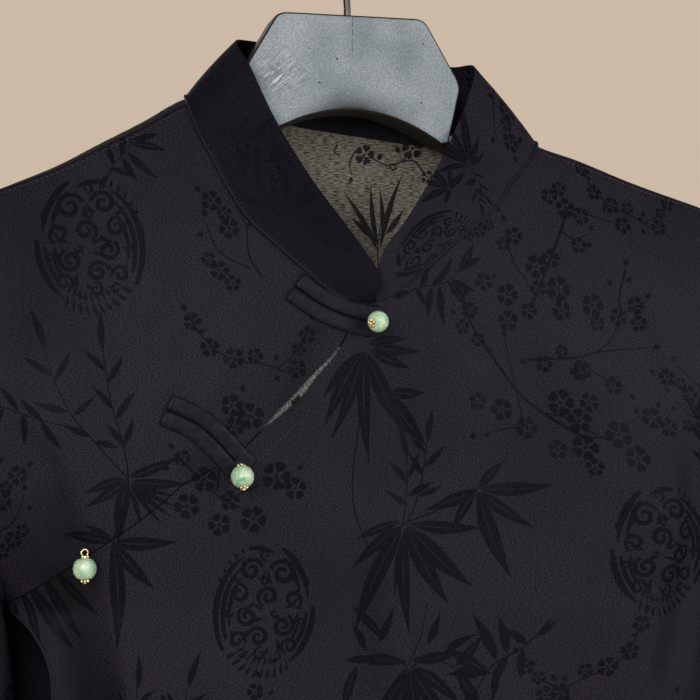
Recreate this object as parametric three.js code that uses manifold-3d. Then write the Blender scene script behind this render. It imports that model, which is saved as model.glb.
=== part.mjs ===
// A cheongsam top on a broad-headed hanger, in millimetres, +Z up.
// The origin is the inside of the hook's crown, where a rail carries it. The front faces -Y,
// and the wearer's right side is -X. The cloth is made as walls of even thickness from
// two sheets: a front sheet and a back sheet that meet over the ridge of the shoulders.
import * as THREE from "three";
import { mergeVertices } from "three/addons/utils/BufferGeometryUtils.js";
import Module from "manifold-3d";

const wasm = await Module();
wasm.setup();

// ---- driving dimensions ------------------------------------------------------------

const CENTRE_X = 5; // the garment has slipped a little to the wearer's left on its hanger
const SEAM_GAP = 0.3;
const ARMHOLE_GAP = 0.8; // the armholes' seams turn, so their chords need more room
const WALL = 1.2; // one layer of jacquard with its seam allowances
const COLLAR_WALL = 1.8; // two layers and a stiffener
const STRAP_WALL = 1.5; // a folded strip
const STRAP_LIFT = 0.4;
const FACING_WALL = 0.9;

const HEM_Z = -712;
const ARMPIT_Z = -354;
const RIDGE_RADIUS = 7; // how round the cloth lies over the hanger's arm
const FRONT_FULLNESS = 35; // how far the front stands forward, well below the shoulder
const FRONT_FALL = 60; // the drop over which it comes forward
const BACK_FULLNESS = 30;
const BACK_FALL = 40;
const ARM_FORWARD = 8; // the hanger's ends come forward by this
const SIDE_POWER = 4; // how square the body's cross-section is

// The ridge of the shoulders, and how far below it on the front the shoulder seam lies.
const SHOULDER = [
  { x: -192, z: -169.8, seam: 0.8 },
  { x: -169, z: -159.5, seam: 1.2 },
  { x: -143, z: -147.9, seam: 2.2 },
  { x: -124, z: -137.3, seam: 3.0 },
  { x: -101.6, z: -125, seam: 3.8 },
  { x: -82, z: -113.5, seam: 4.2 },
  { x: 5, z: -85, seam: 4.2 },
  { x: 98, z: -130, seam: 2.6 },
  { x: 120.6, z: -137.3, seam: 2.6 },
  { x: 151.9, z: -148.9, seam: 2.2 },
  { x: 192.4, z: -162.2, seam: 1.2 },
  { x: 203, z: -167, seam: 0.8 },
];

// The collar, one row for each section from its right front end round the back to its left
// front end: where the seam lies on the cloth (side -1 on the front, 0 on the ridge, 1 on
// the back), and where the top edge stands.
const COLLAR = [
  { x: 3, z: -213, side: -1, topX: 7.8, topY: -41.5, topZ: -202 },
  { x: -15, z: -209, side: -1, topX: 1, topY: -39, topZ: -191 },
  { x: -32.5, z: -195.5, side: -1, topX: -9, topY: -34.5, topZ: -176 },
  { x: -46, z: -183.8, side: -1, topX: -20, topY: -30, topZ: -160.5 },
  { x: -58, z: -172, side: -1, topX: -29.5, topY: -25, topZ: -145 },
  { x: -71.5, z: -147, side: -1, topX: -42.5, topY: -17.5, topZ: -120 },
  { x: -79.5, z: -127, side: -1, topX: -52, topY: -14.5, topZ: -98 },
  { x: -81, z: -113, side: 0, topX: -55.5, topY: 2, topZ: -84 },
  { x: -70, z: -114.5, side: 1, topX: -47, topY: 14, topZ: -80.5 },
  { x: -34, z: -119.5, side: 1, topX: -23, topY: 21, topZ: -81.5 },
  { x: 8, z: -124.6, side: 1, topX: 8, topY: 23, topZ: -84.5 },
  { x: 52, z: -130, side: 1, topX: 38, topY: 19.5, topZ: -87 },
  { x: 86, z: -133, side: 1, topX: 59, topY: 12, topZ: -89.5 },
  { x: 98, z: -130, side: 0, topX: 67, topY: 3, topZ: -90.5 },
  { x: 90, z: -141.5, side: -1, topX: 61, topY: -7, topZ: -108 },
  { x: 78, z: -153.4, side: -1, topX: 51, topY: -14.5, topZ: -127.6 },
  { x: 69.5, z: -164.5, side: -1, topX: 43, topY: -20, topZ: -141 },
  { x: 59, z: -173.5, side: -1, topX: 34, topY: -25, topZ: -155 },
  { x: 44.8, z: -184, side: -1, topX: 24, topY: -29.5, topZ: -169.5 },
  { x: 30, z: -196.5, side: -1, topX: 14.5, topY: -33.5, topZ: -183 },
  { x: 12, z: -210.5, side: -1, topX: 10.5, topY: -37.5, topZ: -199 },
];
const LEFT_RIDGE_ROW = 7;
const RIGHT_RIDGE_ROW = 13;

// The slant opening from the neck to the right armpit, and how far its edges part.
const SLANT = [
  { x: 3, z: -213, gap: 0.6 },
  { x: -6.7, z: -221, gap: 0.6 },
  { x: -11.1, z: -230.4, gap: 0.8 },
  { x: -17.4, z: -239, gap: 1.6 },
  { x: -25.2, z: -247, gap: 2.4 },
  { x: -33, z: -256, gap: 3.4 },
  { x: -41.2, z: -263.5, gap: 2.6 },
  { x: -51.2, z: -272.8, gap: 0.9 },
  { x: -60.3, z: -281.6, gap: 0.6 },
  { x: -72.1, z: -289.3, gap: 0.6 },
  { x: -88, z: -297.4, gap: 0.6 },
  { x: -97.3, z: -305.5, gap: 0.6 },
  { x: -113.8, z: -317.5, gap: 0.6 },
  { x: -132.4, z: -330.3, gap: 0.6 },
  { x: -147.7, z: -340.7, gap: 0.6 },
  { x: -160.5, z: -349.3, gap: 0.6 },
  { x: -167.3, z: -354, gap: 0.6 },
];
const FACING_HALF = 9;
const FACING_CLEAR = 1.4;

// The armholes and side seams, as distances from the garment's centre line. "flap" is the
// edge of the front flap on the wearer's right, which stands forward of the back's edge
// under the arm; "flapReach" is where its curve would close.
const SIDES = [
  { z: -166, arm: 198, reach: 420, flap: 198, flapReach: 420, back: 198 },
  { z: -215, arm: 186, reach: 370, flap: 186, flapReach: 370, back: 186 },
  { z: -260, arm: 181.5, reach: 320, flap: 181.5, flapReach: 320, back: 181.5 },
  { z: -310, arm: 178.5, reach: 232, flap: 178.5, flapReach: 232, back: 178.5 },
  { z: -335, arm: 176, reach: 192, flap: 176, flapReach: 192, back: 176 },
  { z: -354, arm: 172.3, reach: 172.3, flap: 172.3, flapReach: 172.3, back: 172.3 },
  { z: -364, arm: 170.5, reach: 170.5, flap: 161.5, flapReach: 177, back: 169.8 },
  { z: -380, arm: 168.5, reach: 168.5, flap: 153.5, flapReach: 178, back: 168.3 },
  { z: -400, arm: 167, reach: 167, flap: 152, flapReach: 175, back: 167.2 },
  { z: -450, arm: 164, reach: 164, flap: 154, flapReach: 164, back: 167.5 },
  { z: -500, arm: 162.5, reach: 162.5, flap: 157.5, flapReach: 160.5, back: 163 },
  { z: -545, arm: 162.5, reach: 162.5, flap: 160.5, flapReach: 160.5, back: 161 },
  { z: -620, arm: 165, reach: 165, flap: 164, flapReach: 164, back: 164 },
  { z: -712, arm: 171, reach: 171, flap: 171, flapReach: 171, back: 171 },
];

// The largest folds: soft troughs (depth > 0) and ridges from one end to the other.
const FRONT_FOLDS = [
  { x0: -131, z0: -338, x1: -112, z1: -560, depth: 13, half: 15 },
  { x0: -158, z0: -262, x1: -138, z1: -338, depth: 4, half: 14 },
  { x0: -62, z0: -400, x1: -66, z1: -740, depth: 6, half: 26 },
  { x0: 30, z0: -430, x1: 24, z1: -740, depth: 5, half: 30 },
  { x0: 110, z0: -330, x1: 92, z1: -740, depth: 7, half: 24 },
  { x0: 168, z0: -250, x1: 140, z1: -420, depth: 6, half: 15 },
];
const BACK_FOLDS = [
  { x0: -128, z0: -300, x1: -108, z1: -740, depth: 8, half: 22 },
  { x0: -30, z0: -420, x1: -34, z1: -740, depth: 5, half: 28 },
  { x0: 60, z0: -380, x1: 52, z1: -740, depth: 6, half: 26 },
  { x0: 138, z0: -300, x1: 122, z1: -740, depth: 8, half: 20 },
];

// Each sleeve hangs from its armhole; one row for each section down to the cuff, with its
// outer fold, its inner fold (both as distances from the centre line) and half its depth.
const SLEEVE = [
  { outX: 227, outZ: -214, inX: 170.2, inZ: -374, half: 33 },
  { outX: 249, outZ: -275, inX: 168.8, inZ: -402, half: 35 },
  { outX: 264, outZ: -345, inX: 171.5, inZ: -442, half: 33 },
  { outX: 273, outZ: -415, inX: 178, inZ: -492, half: 30 },
  { outX: 278, outZ: -490, inX: 187, inZ: -542, half: 27 },
  { outX: 281, outZ: -560, inX: 195, inZ: -588, half: 23 },
];

// The button loops: the path of each loop's middle line on the front, and its half width.
const STRAP_HALF = 3.7;
const LOOP_AT_NECK = [
  { x: -34.8, z: -205.2 },
  { x: -24.5, z: -212.4 },
  { x: -14.5, z: -217.2 },
  { x: -5, z: -220.2 },
  { x: 0.5, z: -221.4 },
];
const LOOP_AT_CHEST = [
  { x: -95.6, z: -262.6 },
  { x: -87.5, z: -266.2 },
  { x: -79.5, z: -270.6 },
  { x: -69.5, z: -280.1 },
  { x: -63.5, z: -287 },
];

// The jade beads that button them: middle, half height and radius, hole axis.
const BEADS = [
  { name: "neck", x: 3.6, z: -221.8, radius: 5.1, half: 4.7, axis: [-0.75, -0.55, -0.15] },
  { name: "chest", x: -61.6, z: -293.4, radius: 5.4, half: 5.1, axis: [0.05, -0.5, -1] },
  { name: "underarm", x: -132.6, z: -334.4, radius: 5.4, half: 5.1, axis: [0, -0.1, -1] },
];
const BEAD_HOLE = 1.4;
const BEAD_FULLNESS = 0.8; // under 1, so a little fuller than a ball
const PIN_RADIUS = 1.1;
const PIN_HEAD = 2.1;

// The hanger: a broad flat head with an arched underside, and two arms inside the cloth.
const HEAD_HALF_DEPTH = 11;
const HEAD_BEVEL = 2.2;
const HEAD_TOP = -70;
const ARCH_TOP = -117.3;
const ARCH_DROP = 9.5;
const ARCH_REACH = 36;
const ARCH_POWER = 2;
const HANGER_BAR = [
  { x: 0, top: -84, bottom: -111, half: 8.5 },
  { x: 28, top: -94, bottom: -119, half: 9 },
  { x: 45, top: -117, bottom: -130.5, half: 9 },
  { x: 60, top: -131, bottom: -145, half: 9 },
  { x: 84, top: -140.5, bottom: -158, half: 9 },
  { x: 110, top: -146, bottom: -169, half: 9.5 },
  { x: 143, top: -151.8, bottom: -178, half: 9.5 },
  { x: 169, top: -163.2, bottom: -187, half: 9.5 },
  { x: 186, top: -172.5, bottom: -190, half: 7 },
];
const BAR_SQUARENESS = 0.9;
const ROD_RADIUS = 1.8;
const HOOK_RADIUS = 22;

// ---- small tools -------------------------------------------------------------------

// The value of a column at a place along a table, on a smooth curve through its rows.
function tableAt(rows, place, column, at) {
  const rising = rows[rows.length - 1][place] > rows[0][place] ? 1 : -1;
  let i = 0;
  while (i < rows.length - 2 && (at - rows[i + 1][place]) * rising > 0) i += 1;
  const a = rows[i];
  const b = rows[i + 1];
  const span = b[place] - a[place];
  const slopeAt = (k) => {
    const before = rows[Math.max(k - 1, 0)];
    const after = rows[Math.min(k + 1, rows.length - 1)];
    return (after[column] - before[column]) / (after[place] - before[place]);
  };
  const t = THREE.MathUtils.clamp((at - a[place]) / span, -0.5, 1.5);
  const t2 = t * t;
  const t3 = t2 * t;
  return (2 * t3 - 3 * t2 + 1) * a[column] + (t3 - 2 * t2 + t) * span * slopeAt(i)
    + (3 * t2 - 2 * t3) * b[column] + (t3 - t2) * span * slopeAt(i + 1);
}

const lerp = THREE.MathUtils.lerp;

// A smooth trough, 1 on the line from one end of a fold to the other and 0 at its edges.
function foldAt(fold, x, z) {
  const along = (fold.z0 - z) / (fold.z0 - fold.z1);
  if (along <= 0 || along >= 1) return 0;
  const offset = (x - lerp(fold.x0, fold.x1, along)) / fold.half;
  if (Math.abs(offset) >= 1) return 0;
  const acrossFade = Math.cos(offset * Math.PI / 2) ** 2;
  const alongFade = THREE.MathUtils.smoothstep(along, 0, 0.35) * THREE.MathUtils.smoothstep(1 - along, 0, 0.2);
  return fold.depth * acrossFade * alongFade;
}

// How far a sheet stands off the ridge's plane, `drop` below the ridge.
function standOff(drop, fullness, fall) {
  const rounded = Math.min(Math.max(drop, 0) / RIDGE_RADIUS, 1);
  return RIDGE_RADIUS * Math.sqrt(1 - (1 - rounded) ** 2) + fullness * (1 - Math.exp(-Math.max(drop, 0) / fall));
}

const ridgeZ = (x) => tableAt(SHOULDER, "x", "z", x);
const seamDrop = (x) => tableAt(SHOULDER, "x", "seam", x);

// The ridge's plane: forward at the ends of the hanger, and straight below the armpits.
function midY(x, z) {
  const reach = Math.abs(x - CENTRE_X) / 198;
  const fade = THREE.MathUtils.clamp((z - ARMPIT_Z) / 150, 0, 1);
  return -ARM_FORWARD * reach * reach * fade;
}

// A point on one of the sheets. `height` is the height on the front (face -1) or back
// (face 1); a height above the ridge goes over it and down the other side.
function sheetPoint(face, x, height, reachColumn) {
  const ridge = ridgeZ(x);
  const over = height > ridge;
  const z = over ? 2 * ridge - height : height;
  const side = over ? -face : face;
  const drop = ridge - z;
  const reach = tableAt(SIDES, "z", reachColumn, z);
  const across = Math.min(Math.abs(x - CENTRE_X) / reach, 1);
  const closing = Math.sqrt(Math.max(0, 1 - across ** SIDE_POWER));
  const front = side < 0;
  const off = standOff(drop, front ? FRONT_FULLNESS : BACK_FULLNESS, front ? FRONT_FALL : BACK_FALL);
  const folds = (front ? FRONT_FOLDS : BACK_FOLDS).reduce((sum, fold) => sum + foldAt(fold, x, z), 0);
  const depth = Math.max((off - folds) * closing, SEAM_GAP / 2);
  return new THREE.Vector3(x, midY(x, z) + side * depth, z);
}

// Below the armpits the front's wall stays in front of the side seams, and the back's behind.
const keepTo = (face) => (point) => {
  if (point.z < ARMPIT_Z + 1) {
    point.y = face * Math.max(face * point.y, SEAM_GAP / 2);
  }
  return point;
};

// Unit normals of a grid of points, by its neighbours; `wrap` joins the last column to the first.
function gridNormals(grid, wrap) {
  const rows = grid.length;
  const cols = grid[0].length;
  return grid.map((row, r) => row.map((point, c) => {
    const left = wrap ? row[(c + cols - 1) % cols] : row[Math.max(c - 1, 0)];
    const right = wrap ? row[(c + 1) % cols] : row[Math.min(c + 1, cols - 1)];
    const up = grid[Math.max(r - 1, 0)][c];
    const down = grid[Math.min(r + 1, rows - 1)][c];
    const acrossWay = right.clone().sub(left);
    const downWay = down.clone().sub(up);
    return downWay.cross(acrossWay).normalize();
  }));
}

// A closed wall from a grid of points on a sheet, `wall` thick inwards from `lift` above it.
// Rows run down and columns run so that (down x across) points out of the cloth.
function wallFromGrid(grid, wall, { lift = 0, wrap = false, limit = (point) => point } = {}) {
  const rows = grid.length;
  const cols = grid[0].length;
  const normals = gridNormals(grid, wrap);
  const positions = [];
  for (const layer of [0, 1]) {
    grid.forEach((row, r) => row.forEach((point, c) => {
      const placed = limit(point.clone().addScaledVector(normals[r][c], lift - wall * layer));
      positions.push(placed.x, placed.y, placed.z);
    }));
  }
  const id = (layer, r, c) => layer * rows * cols + r * cols + (c % cols);
  const index = [];
  const quad = (a, b, c, d) => index.push(a, b, c, a, c, d);
  const lastCol = wrap ? cols : cols - 1;
  for (let r = 0; r < rows - 1; r += 1) {
    for (let c = 0; c < lastCol; c += 1) {
      quad(id(0, r, c), id(0, r + 1, c), id(0, r + 1, c + 1), id(0, r, c + 1));
      quad(id(1, r, c), id(1, r, c + 1), id(1, r + 1, c + 1), id(1, r + 1, c));
    }
  }
  for (let c = 0; c < lastCol; c += 1) {
    quad(id(0, 0, c), id(0, 0, c + 1), id(1, 0, c + 1), id(1, 0, c));
    quad(id(0, rows - 1, c + 1), id(0, rows - 1, c), id(1, rows - 1, c), id(1, rows - 1, c + 1));
  }
  if (!wrap) {
    for (let r = 0; r < rows - 1; r += 1) {
      quad(id(0, r + 1, 0), id(0, r, 0), id(1, r, 0), id(1, r + 1, 0));
      quad(id(0, r, cols - 1), id(0, r + 1, cols - 1), id(1, r + 1, cols - 1), id(1, r, cols - 1));
    }
  }
  const geometry = new THREE.BufferGeometry();
  geometry.setAttribute("position", new THREE.Float32BufferAttribute(positions, 3));
  geometry.setIndex(index);
  geometry.computeVertexNormals();
  return geometry;
}

const fabric = new THREE.MeshStandardMaterial({ color: 0x2c2b31, roughness: 0.72 });
const satin = new THREE.MeshStandardMaterial({ color: 0x24232a, roughness: 0.5 });
const wrongSide = new THREE.MeshStandardMaterial({ color: 0x6e6860, roughness: 0.85 });
const jade = new THREE.MeshStandardMaterial({ color: 0xa6d0b0, roughness: 0.25 });
const gilt = new THREE.MeshStandardMaterial({ color: 0xb08a3c, roughness: 0.35, metalness: 1 });
const paint = new THREE.MeshStandardMaterial({ color: 0x8f959a, roughness: 0.45 });
const steel = new THREE.MeshStandardMaterial({ color: 0x1c1d20, roughness: 0.35, metalness: 0.8 });

const group = new THREE.Group();

function addPiece(name, geometry, material) {
  const mesh = new THREE.Mesh(geometry, material);
  mesh.name = name;
  group.add(mesh);
  return mesh;
}

// A panel's grid on its sheet, between its top edge (a list of {x, z}), its hem or lower
// edge, and its two sides (functions from 0 at the top to 1 at the bottom).
function panelGrid({ top, bottomAt, leftAt, rightAt, steps, toPoint }) {
  const first = top[0];
  const last = top[top.length - 1];
  const columns = top.map((point) => (point.x - first.x) / (last.x - first.x));
  return steps.map((r) => top.map((point, i) => {
    const c = columns[i];
    const bottom = bottomAt(c, i);
    const mix = (key) => lerp(point[key], bottom[key], r)
      + (1 - c) * (leftAt(r)[key] - lerp(first[key], bottomAt(0, 0)[key], r))
      + c * (rightAt(r)[key] - lerp(last[key], bottomAt(1, top.length - 1)[key], r));
    return toPoint(mix("x"), mix("z"));
  }));
}

// Points on the shoulder seam from the neck to the armhole, closer together towards the
// armhole, on the height scale of a sheet.
function shoulderLine(neckX, armX, count, face) {
  return Array.from({ length: count + 1 }, (_, i) => {
    const x = lerp(neckX, armX, Math.sin(i / count * Math.PI / 2));
    return { x, z: ridgeZ(x) + face * seamDrop(x) - SEAM_GAP / 2 };
  });
}

// The neck seam, where `at` counts the collar's rows.
const neckCurve = new THREE.CatmullRomCurve3(COLLAR.map((row) => new THREE.Vector3(row.x, 0, row.z)));
const LAST_ROW = COLLAR.length - 1;
function neckAt(at) {
  const point = neckCurve.getPoint(at / LAST_ROW);
  return { x: point.x, z: point.z };
}
const neckLine = (from, to, count) => Array.from(
  { length: count + 1 },
  (_, i) => neckAt(lerp(from, to, i / count)),
);

// Where the neck seam meets the shoulder seam, between two of the collar's rows.
function seamRow(low, high) {
  let [outside, inside] = [low, high];
  for (let i = 0; i < 20; i += 1) {
    const middle = (outside + inside) / 2;
    const { x, z } = neckAt(middle);
    if (ridgeZ(x) - z > seamDrop(x)) outside = middle;
    else inside = middle;
  }
  return inside;
}
const LEFT_SEAM_ROW = seamRow(LEFT_RIDGE_ROW - 1, LEFT_RIDGE_ROW);
const RIGHT_SEAM_ROW = seamRow(RIGHT_RIDGE_ROW + 1, RIGHT_RIDGE_ROW);

const sideAt = (column, sign, z) => ({ x: CENTRE_X + sign * tableAt(SIDES, "z", column, z), z });
const hemAt = (column) => (c) => {
  const left = sideAt(column, -1, HEM_Z);
  const right = sideAt("arm", 1, HEM_Z);
  return { x: lerp(left.x, right.x, c), z: HEM_Z };
};
const rightEnd = SHOULDER[SHOULDER.length - 1];
const leftEnd = SHOULDER[0];
const NECK_CLEAR = 0.6; // the shoulder seams stop this far outside the neck seam

// ---- front flap: the large front, from the slant to the wearer's left ---------------

// The rows of a panel: the armhole's levels, which its sleeve shares, then even steps to the hem.
const ARMHOLE_LEVELS = 12;
const BELOW_ROWS = 8;
function panelSteps(topZ) {
  const share = (ARMPIT_Z - topZ) / (HEM_Z - topZ);
  const above = Array.from({ length: ARMHOLE_LEVELS + 1 }, (_, i) => (
    share * (0.5 - 0.5 * Math.cos(Math.PI * i / ARMHOLE_LEVELS))));
  const below = Array.from({ length: BELOW_ROWS }, (_, i) => lerp(share, 1, (i + 1) / BELOW_ROWS));
  return [...above, ...below];
}

// One edge of the slant opening, parted from its line by half the gap, square to it.
function slantEdge(direction) {
  return SLANT.map((row, i) => {
    const before = SLANT[Math.max(i - 1, 0)];
    const after = SLANT[Math.min(i + 1, SLANT.length - 1)];
    const along = new THREE.Vector2(after.x - before.x, after.z - before.z).normalize();
    const half = direction * row.gap / 2;
    return { x: row.x - along.y * half, z: row.z + along.x * half };
  });
}

const flapNeck = neckLine(LAST_ROW, RIGHT_SEAM_ROW, 10);
const flapShoulder = shoulderLine(flapNeck[10].x + NECK_CLEAR, rightEnd.x, 6, -1);
const slantPoint = slantEdge(1).reverse();
const flapTop = [...slantPoint, ...flapNeck, ...flapShoulder.slice(1)];

// On the wearer's right the flap closes to the reach of its own side edge.
const flapPoint = (x, z) => sheetPoint(-1, x, z, x < CENTRE_X ? "flapReach" : "reach");

addPiece("front_flap", wallFromGrid(panelGrid({
  top: flapTop,
  bottomAt: hemAt("flap"),
  leftAt: (r) => sideAt("flap", -1, lerp(ARMPIT_Z, HEM_Z, r)),
  rightAt: (r) => sideAt("arm", 1, lerp(flapTop[flapTop.length - 1].z, HEM_Z, r)),
  steps: panelSteps(flapTop[flapTop.length - 1].z),
  toPoint: flapPoint,
}), WALL, { limit: keepTo(-1) }), fabric);

// ---- under front: the small front on the wearer's right ------------------------------

const UNDER_END_ROW = 0.25; // it stops just short of the point of the neck
const underNeck = neckLine(LEFT_SEAM_ROW, UNDER_END_ROW, 9);
const underShoulder = shoulderLine(underNeck[0].x - NECK_CLEAR, leftEnd.x, 7, -1).reverse();
const underTop = [...underShoulder, ...underNeck.slice(1)];
const underEnd = { x: -2.6, z: -217.2 };
const underEdge = [...slantEdge(-1).reverse().slice(0, -1), underEnd];
addPiece("under_front", wallFromGrid(panelGrid({
  top: underTop,
  bottomAt: (c, i) => underEdge[i],
  leftAt: (r) => sideAt("arm", -1, lerp(underTop[0].z, underEdge[0].z, r)),
  rightAt: (r) => ({
    x: lerp(underTop[underTop.length - 1].x, underEnd.x, r),
    z: lerp(underTop[underTop.length - 1].z, underEnd.z, r),
  }),
  steps: Array.from({ length: ARMHOLE_LEVELS + 1 }, (_, i) => 0.5 - 0.5 * Math.cos(Math.PI * i / ARMHOLE_LEVELS)),
  toPoint: (x, z) => sheetPoint(-1, x, z, "reach"),
}), WALL), fabric);

// ---- facing of the slant opening: its pale wrong side shows where the edges part ------

const FACING_FROM = -138;
const FACING_TO = -8;
const FACING_COLUMNS = 30;
const facingGrid = [1, 0, -1].map((row) => Array.from({ length: FACING_COLUMNS + 1 }, (_, i) => {
  const x = lerp(FACING_FROM, FACING_TO, i / FACING_COLUMNS);
  const z = tableAt([...SLANT].reverse(), "x", "z", x);
  return sheetPoint(-1, x - row * FACING_HALF * 0.6, z + row * FACING_HALF * 0.8, "reach");
}));
addPiece("opening_facing", wallFromGrid(facingGrid, FACING_WALL, { lift: -WALL - FACING_CLEAR }), wrongSide);

// ---- back ------------------------------------------------------------------------------

const heightOnBack = (at) => {
  const { x, z } = neckAt(at);
  return { x, z: Math.min(z, ridgeZ(x)) };
};
const backNeck = Array.from({ length: 13 }, (_, i) => heightOnBack(lerp(RIGHT_RIDGE_ROW, LEFT_RIDGE_ROW, i / 12)));
const backTop = [
  ...shoulderLine(neckAt(RIGHT_RIDGE_ROW).x + NECK_CLEAR, rightEnd.x, 6, 1).reverse(),
  ...backNeck,
  ...shoulderLine(neckAt(LEFT_RIDGE_ROW).x - NECK_CLEAR, leftEnd.x, 6, 1),
];
const backHem = (c) => ({ x: lerp(sideAt("arm", 1, HEM_Z).x, sideAt("back", -1, HEM_Z).x, c), z: HEM_Z });
const backGrid = panelGrid({
  top: backTop,
  bottomAt: backHem,
  leftAt: (r) => sideAt("arm", 1, lerp(rightEnd.z, HEM_Z, r)),
  rightAt: (r) => sideAt("back", -1, lerp(leftEnd.z, HEM_Z, r)),
  steps: panelSteps(rightEnd.z),
  toPoint: (x, z) => sheetPoint(1, x, z, x < CENTRE_X && z < ARMPIT_Z ? "back" : "reach"),
});
addPiece("back", wallFromGrid(backGrid, WALL, { limit: keepTo(1) }), fabric);

// ---- sleeves -----------------------------------------------------------------------------

const SLEEVE_COLUMNS = 24;
const SLEEVE_ROWS = 14;

function sleeveGrid(sign, topZ) {
  const columns = Array.from({ length: SLEEVE_COLUMNS }, (_, c) => {
    const angle = 2 * Math.PI * c / SLEEVE_COLUMNS;
    const face = Math.sin(angle) >= 0 ? -1 : 1;
    const outward = -sign * Math.cos(angle); // 1 at the outer fold, -1 under the arm
    const z = lerp(ARMPIT_Z, topZ, 0.5 + 0.5 * outward);
    const x = CENTRE_X + sign * (tableAt(SIDES, "z", "arm", z) + ARMHOLE_GAP);
    const onBody = sheetPoint(face, x, z, "reach");
    const rings = SLEEVE.map((row) => new THREE.Vector3(
      CENTRE_X + sign * (row.outX * (1 + outward) + row.inX * (1 - outward)) / 2,
      -Math.sin(angle) * row.half - 2,
      (row.outZ * (1 + outward) + row.inZ * (1 - outward)) / 2,
    ));
    return new THREE.CatmullRomCurve3([onBody, ...rings]).getPoints(SLEEVE_ROWS);
  });
  return columns[0].map((_, r) => columns.map((column) => column[r]));
}

addPiece("sleeve_right", wallFromGrid(sleeveGrid(-1, leftEnd.z), WALL, { wrap: true }), fabric);
addPiece("sleeve_left", wallFromGrid(sleeveGrid(1, rightEnd.z), WALL, { wrap: true }), fabric);

// ---- collar ------------------------------------------------------------------------------

const COLLAR_COLUMNS = 56;
const COLLAR_STEPS = [1, 0.75, 0.5, 0.25, 0];
const COLLAR_CLEAR = 0.8; // its lower edge stands this far up from the neck seam
const COLLAR_BULGE = 1.2;
const topCurve = new THREE.CatmullRomCurve3(
  COLLAR.map((row) => new THREE.Vector3(row.topX, row.topY, row.topZ)),
);

function neckSeamPoint(at) {
  const { x, z } = neckAt(at);
  const face = at > LEFT_RIDGE_ROW && at < RIGHT_RIDGE_ROW ? 1 : -1;
  return sheetPoint(face, x, Math.min(z, ridgeZ(x)), "reach");
}

const collarGrid = COLLAR_STEPS.map((step) => Array.from({ length: COLLAR_COLUMNS + 1 }, (_, i) => {
  const at = LAST_ROW * (1 - i / COLLAR_COLUMNS);
  const seam = neckSeamPoint(at);
  const edge = topCurve.getPoint(at / LAST_ROW);
  const start = COLLAR_CLEAR / seam.distanceTo(edge);
  const point = seam.clone().lerp(edge, lerp(start, 1, step));
  const outwards = new THREE.Vector3(seam.x - CENTRE_X, seam.y * 2, 0).normalize();
  return point.addScaledVector(outwards, COLLAR_BULGE * 4 * step * (1 - step));
}));
addPiece("collar", wallFromGrid(collarGrid, COLLAR_WALL, { lift: COLLAR_WALL / 2 }), satin);

// ---- button loops: each a folded strip that runs to its bead, round it and back -----------

const TURN_STEPS = 6;
const RUN_STEPS = 8;

function loopGrid(rows) {
  const curve = new THREE.CatmullRomCurve3(rows.map((row) => new THREE.Vector3(row.x, 0, row.z)));
  const offset = STRAP_HALF + SEAM_GAP / 2;
  const end = curve.getPoint(1);
  const endWay = curve.getTangent(1);
  const across = (way) => new THREE.Vector3(-way.z, 0, way.x);
  const spine = [];
  for (let i = 0; i <= RUN_STEPS; i += 1) {
    const way = curve.getTangent(i / RUN_STEPS);
    spine.push({ place: curve.getPoint(i / RUN_STEPS).addScaledVector(across(way), offset), way });
  }
  for (let i = 1; i < TURN_STEPS; i += 1) {
    const angle = Math.PI * i / TURN_STEPS;
    const place = end.clone().addScaledVector(across(endWay), offset * Math.cos(angle))
      .addScaledVector(endWay, offset * Math.sin(angle));
    const way = endWay.clone().multiplyScalar(Math.cos(angle)).addScaledVector(across(endWay), -Math.sin(angle));
    spine.push({ place, way });
  }
  for (let i = RUN_STEPS; i >= 0; i -= 1) {
    const way = curve.getTangent(i / RUN_STEPS).negate();
    spine.push({ place: curve.getPoint(i / RUN_STEPS).addScaledVector(across(way), offset), way });
  }
  return spine.map(({ place, way }) => [-1, 0, 1].map((side) => {
    const point = place.clone().addScaledVector(across(way), side * STRAP_HALF);
    return sheetPoint(-1, point.x, point.z, "reach");
  }));
}

addPiece("loop_neck", wallFromGrid(loopGrid(LOOP_AT_NECK), STRAP_WALL, { lift: STRAP_LIFT + STRAP_WALL }), satin);
addPiece("loop_chest", wallFromGrid(loopGrid(LOOP_AT_CHEST), STRAP_WALL, { lift: STRAP_LIFT + STRAP_WALL }), satin);

// ---- beads and their gilt pins -------------------------------------------------------------

function lathed(profile, segments) {
  const geometry = new THREE.LatheGeometry(profile.map(([r, h]) => new THREE.Vector2(r, h)), segments);
  geometry.deleteAttribute("normal");
  geometry.deleteAttribute("uv");
  const merged = mergeVertices(geometry, 1e-4);
  merged.computeVertexNormals();
  return merged;
}

function beadProfile({ radius, half }) {
  const points = [];
  const steps = 9;
  const start = Math.asin(BEAD_HOLE / radius);
  for (let i = 0; i <= steps; i += 1) {
    const angle = lerp(start, Math.PI - start, i / steps);
    points.push([radius * Math.sin(angle) ** BEAD_FULLNESS, -half * Math.cos(angle)]);
  }
  points[0][0] = BEAD_HOLE;
  points[steps][0] = BEAD_HOLE;
  points.push(points[0]);
  return points;
}

function pinProfile({ half }) {
  const middle = half + PIN_HEAD * 0.9;
  const neck = Math.asin(PIN_RADIUS / PIN_HEAD);
  const points = [];
  const steps = 5;
  for (let i = 0; i <= steps; i += 1) {
    const angle = lerp(0, Math.PI - neck, i / steps);
    points.push([PIN_HEAD * Math.sin(angle), -middle - PIN_HEAD * Math.cos(angle)]);
  }
  return [...points, ...points.map(([r, h]) => [r, -h]).reverse()];
}

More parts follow.
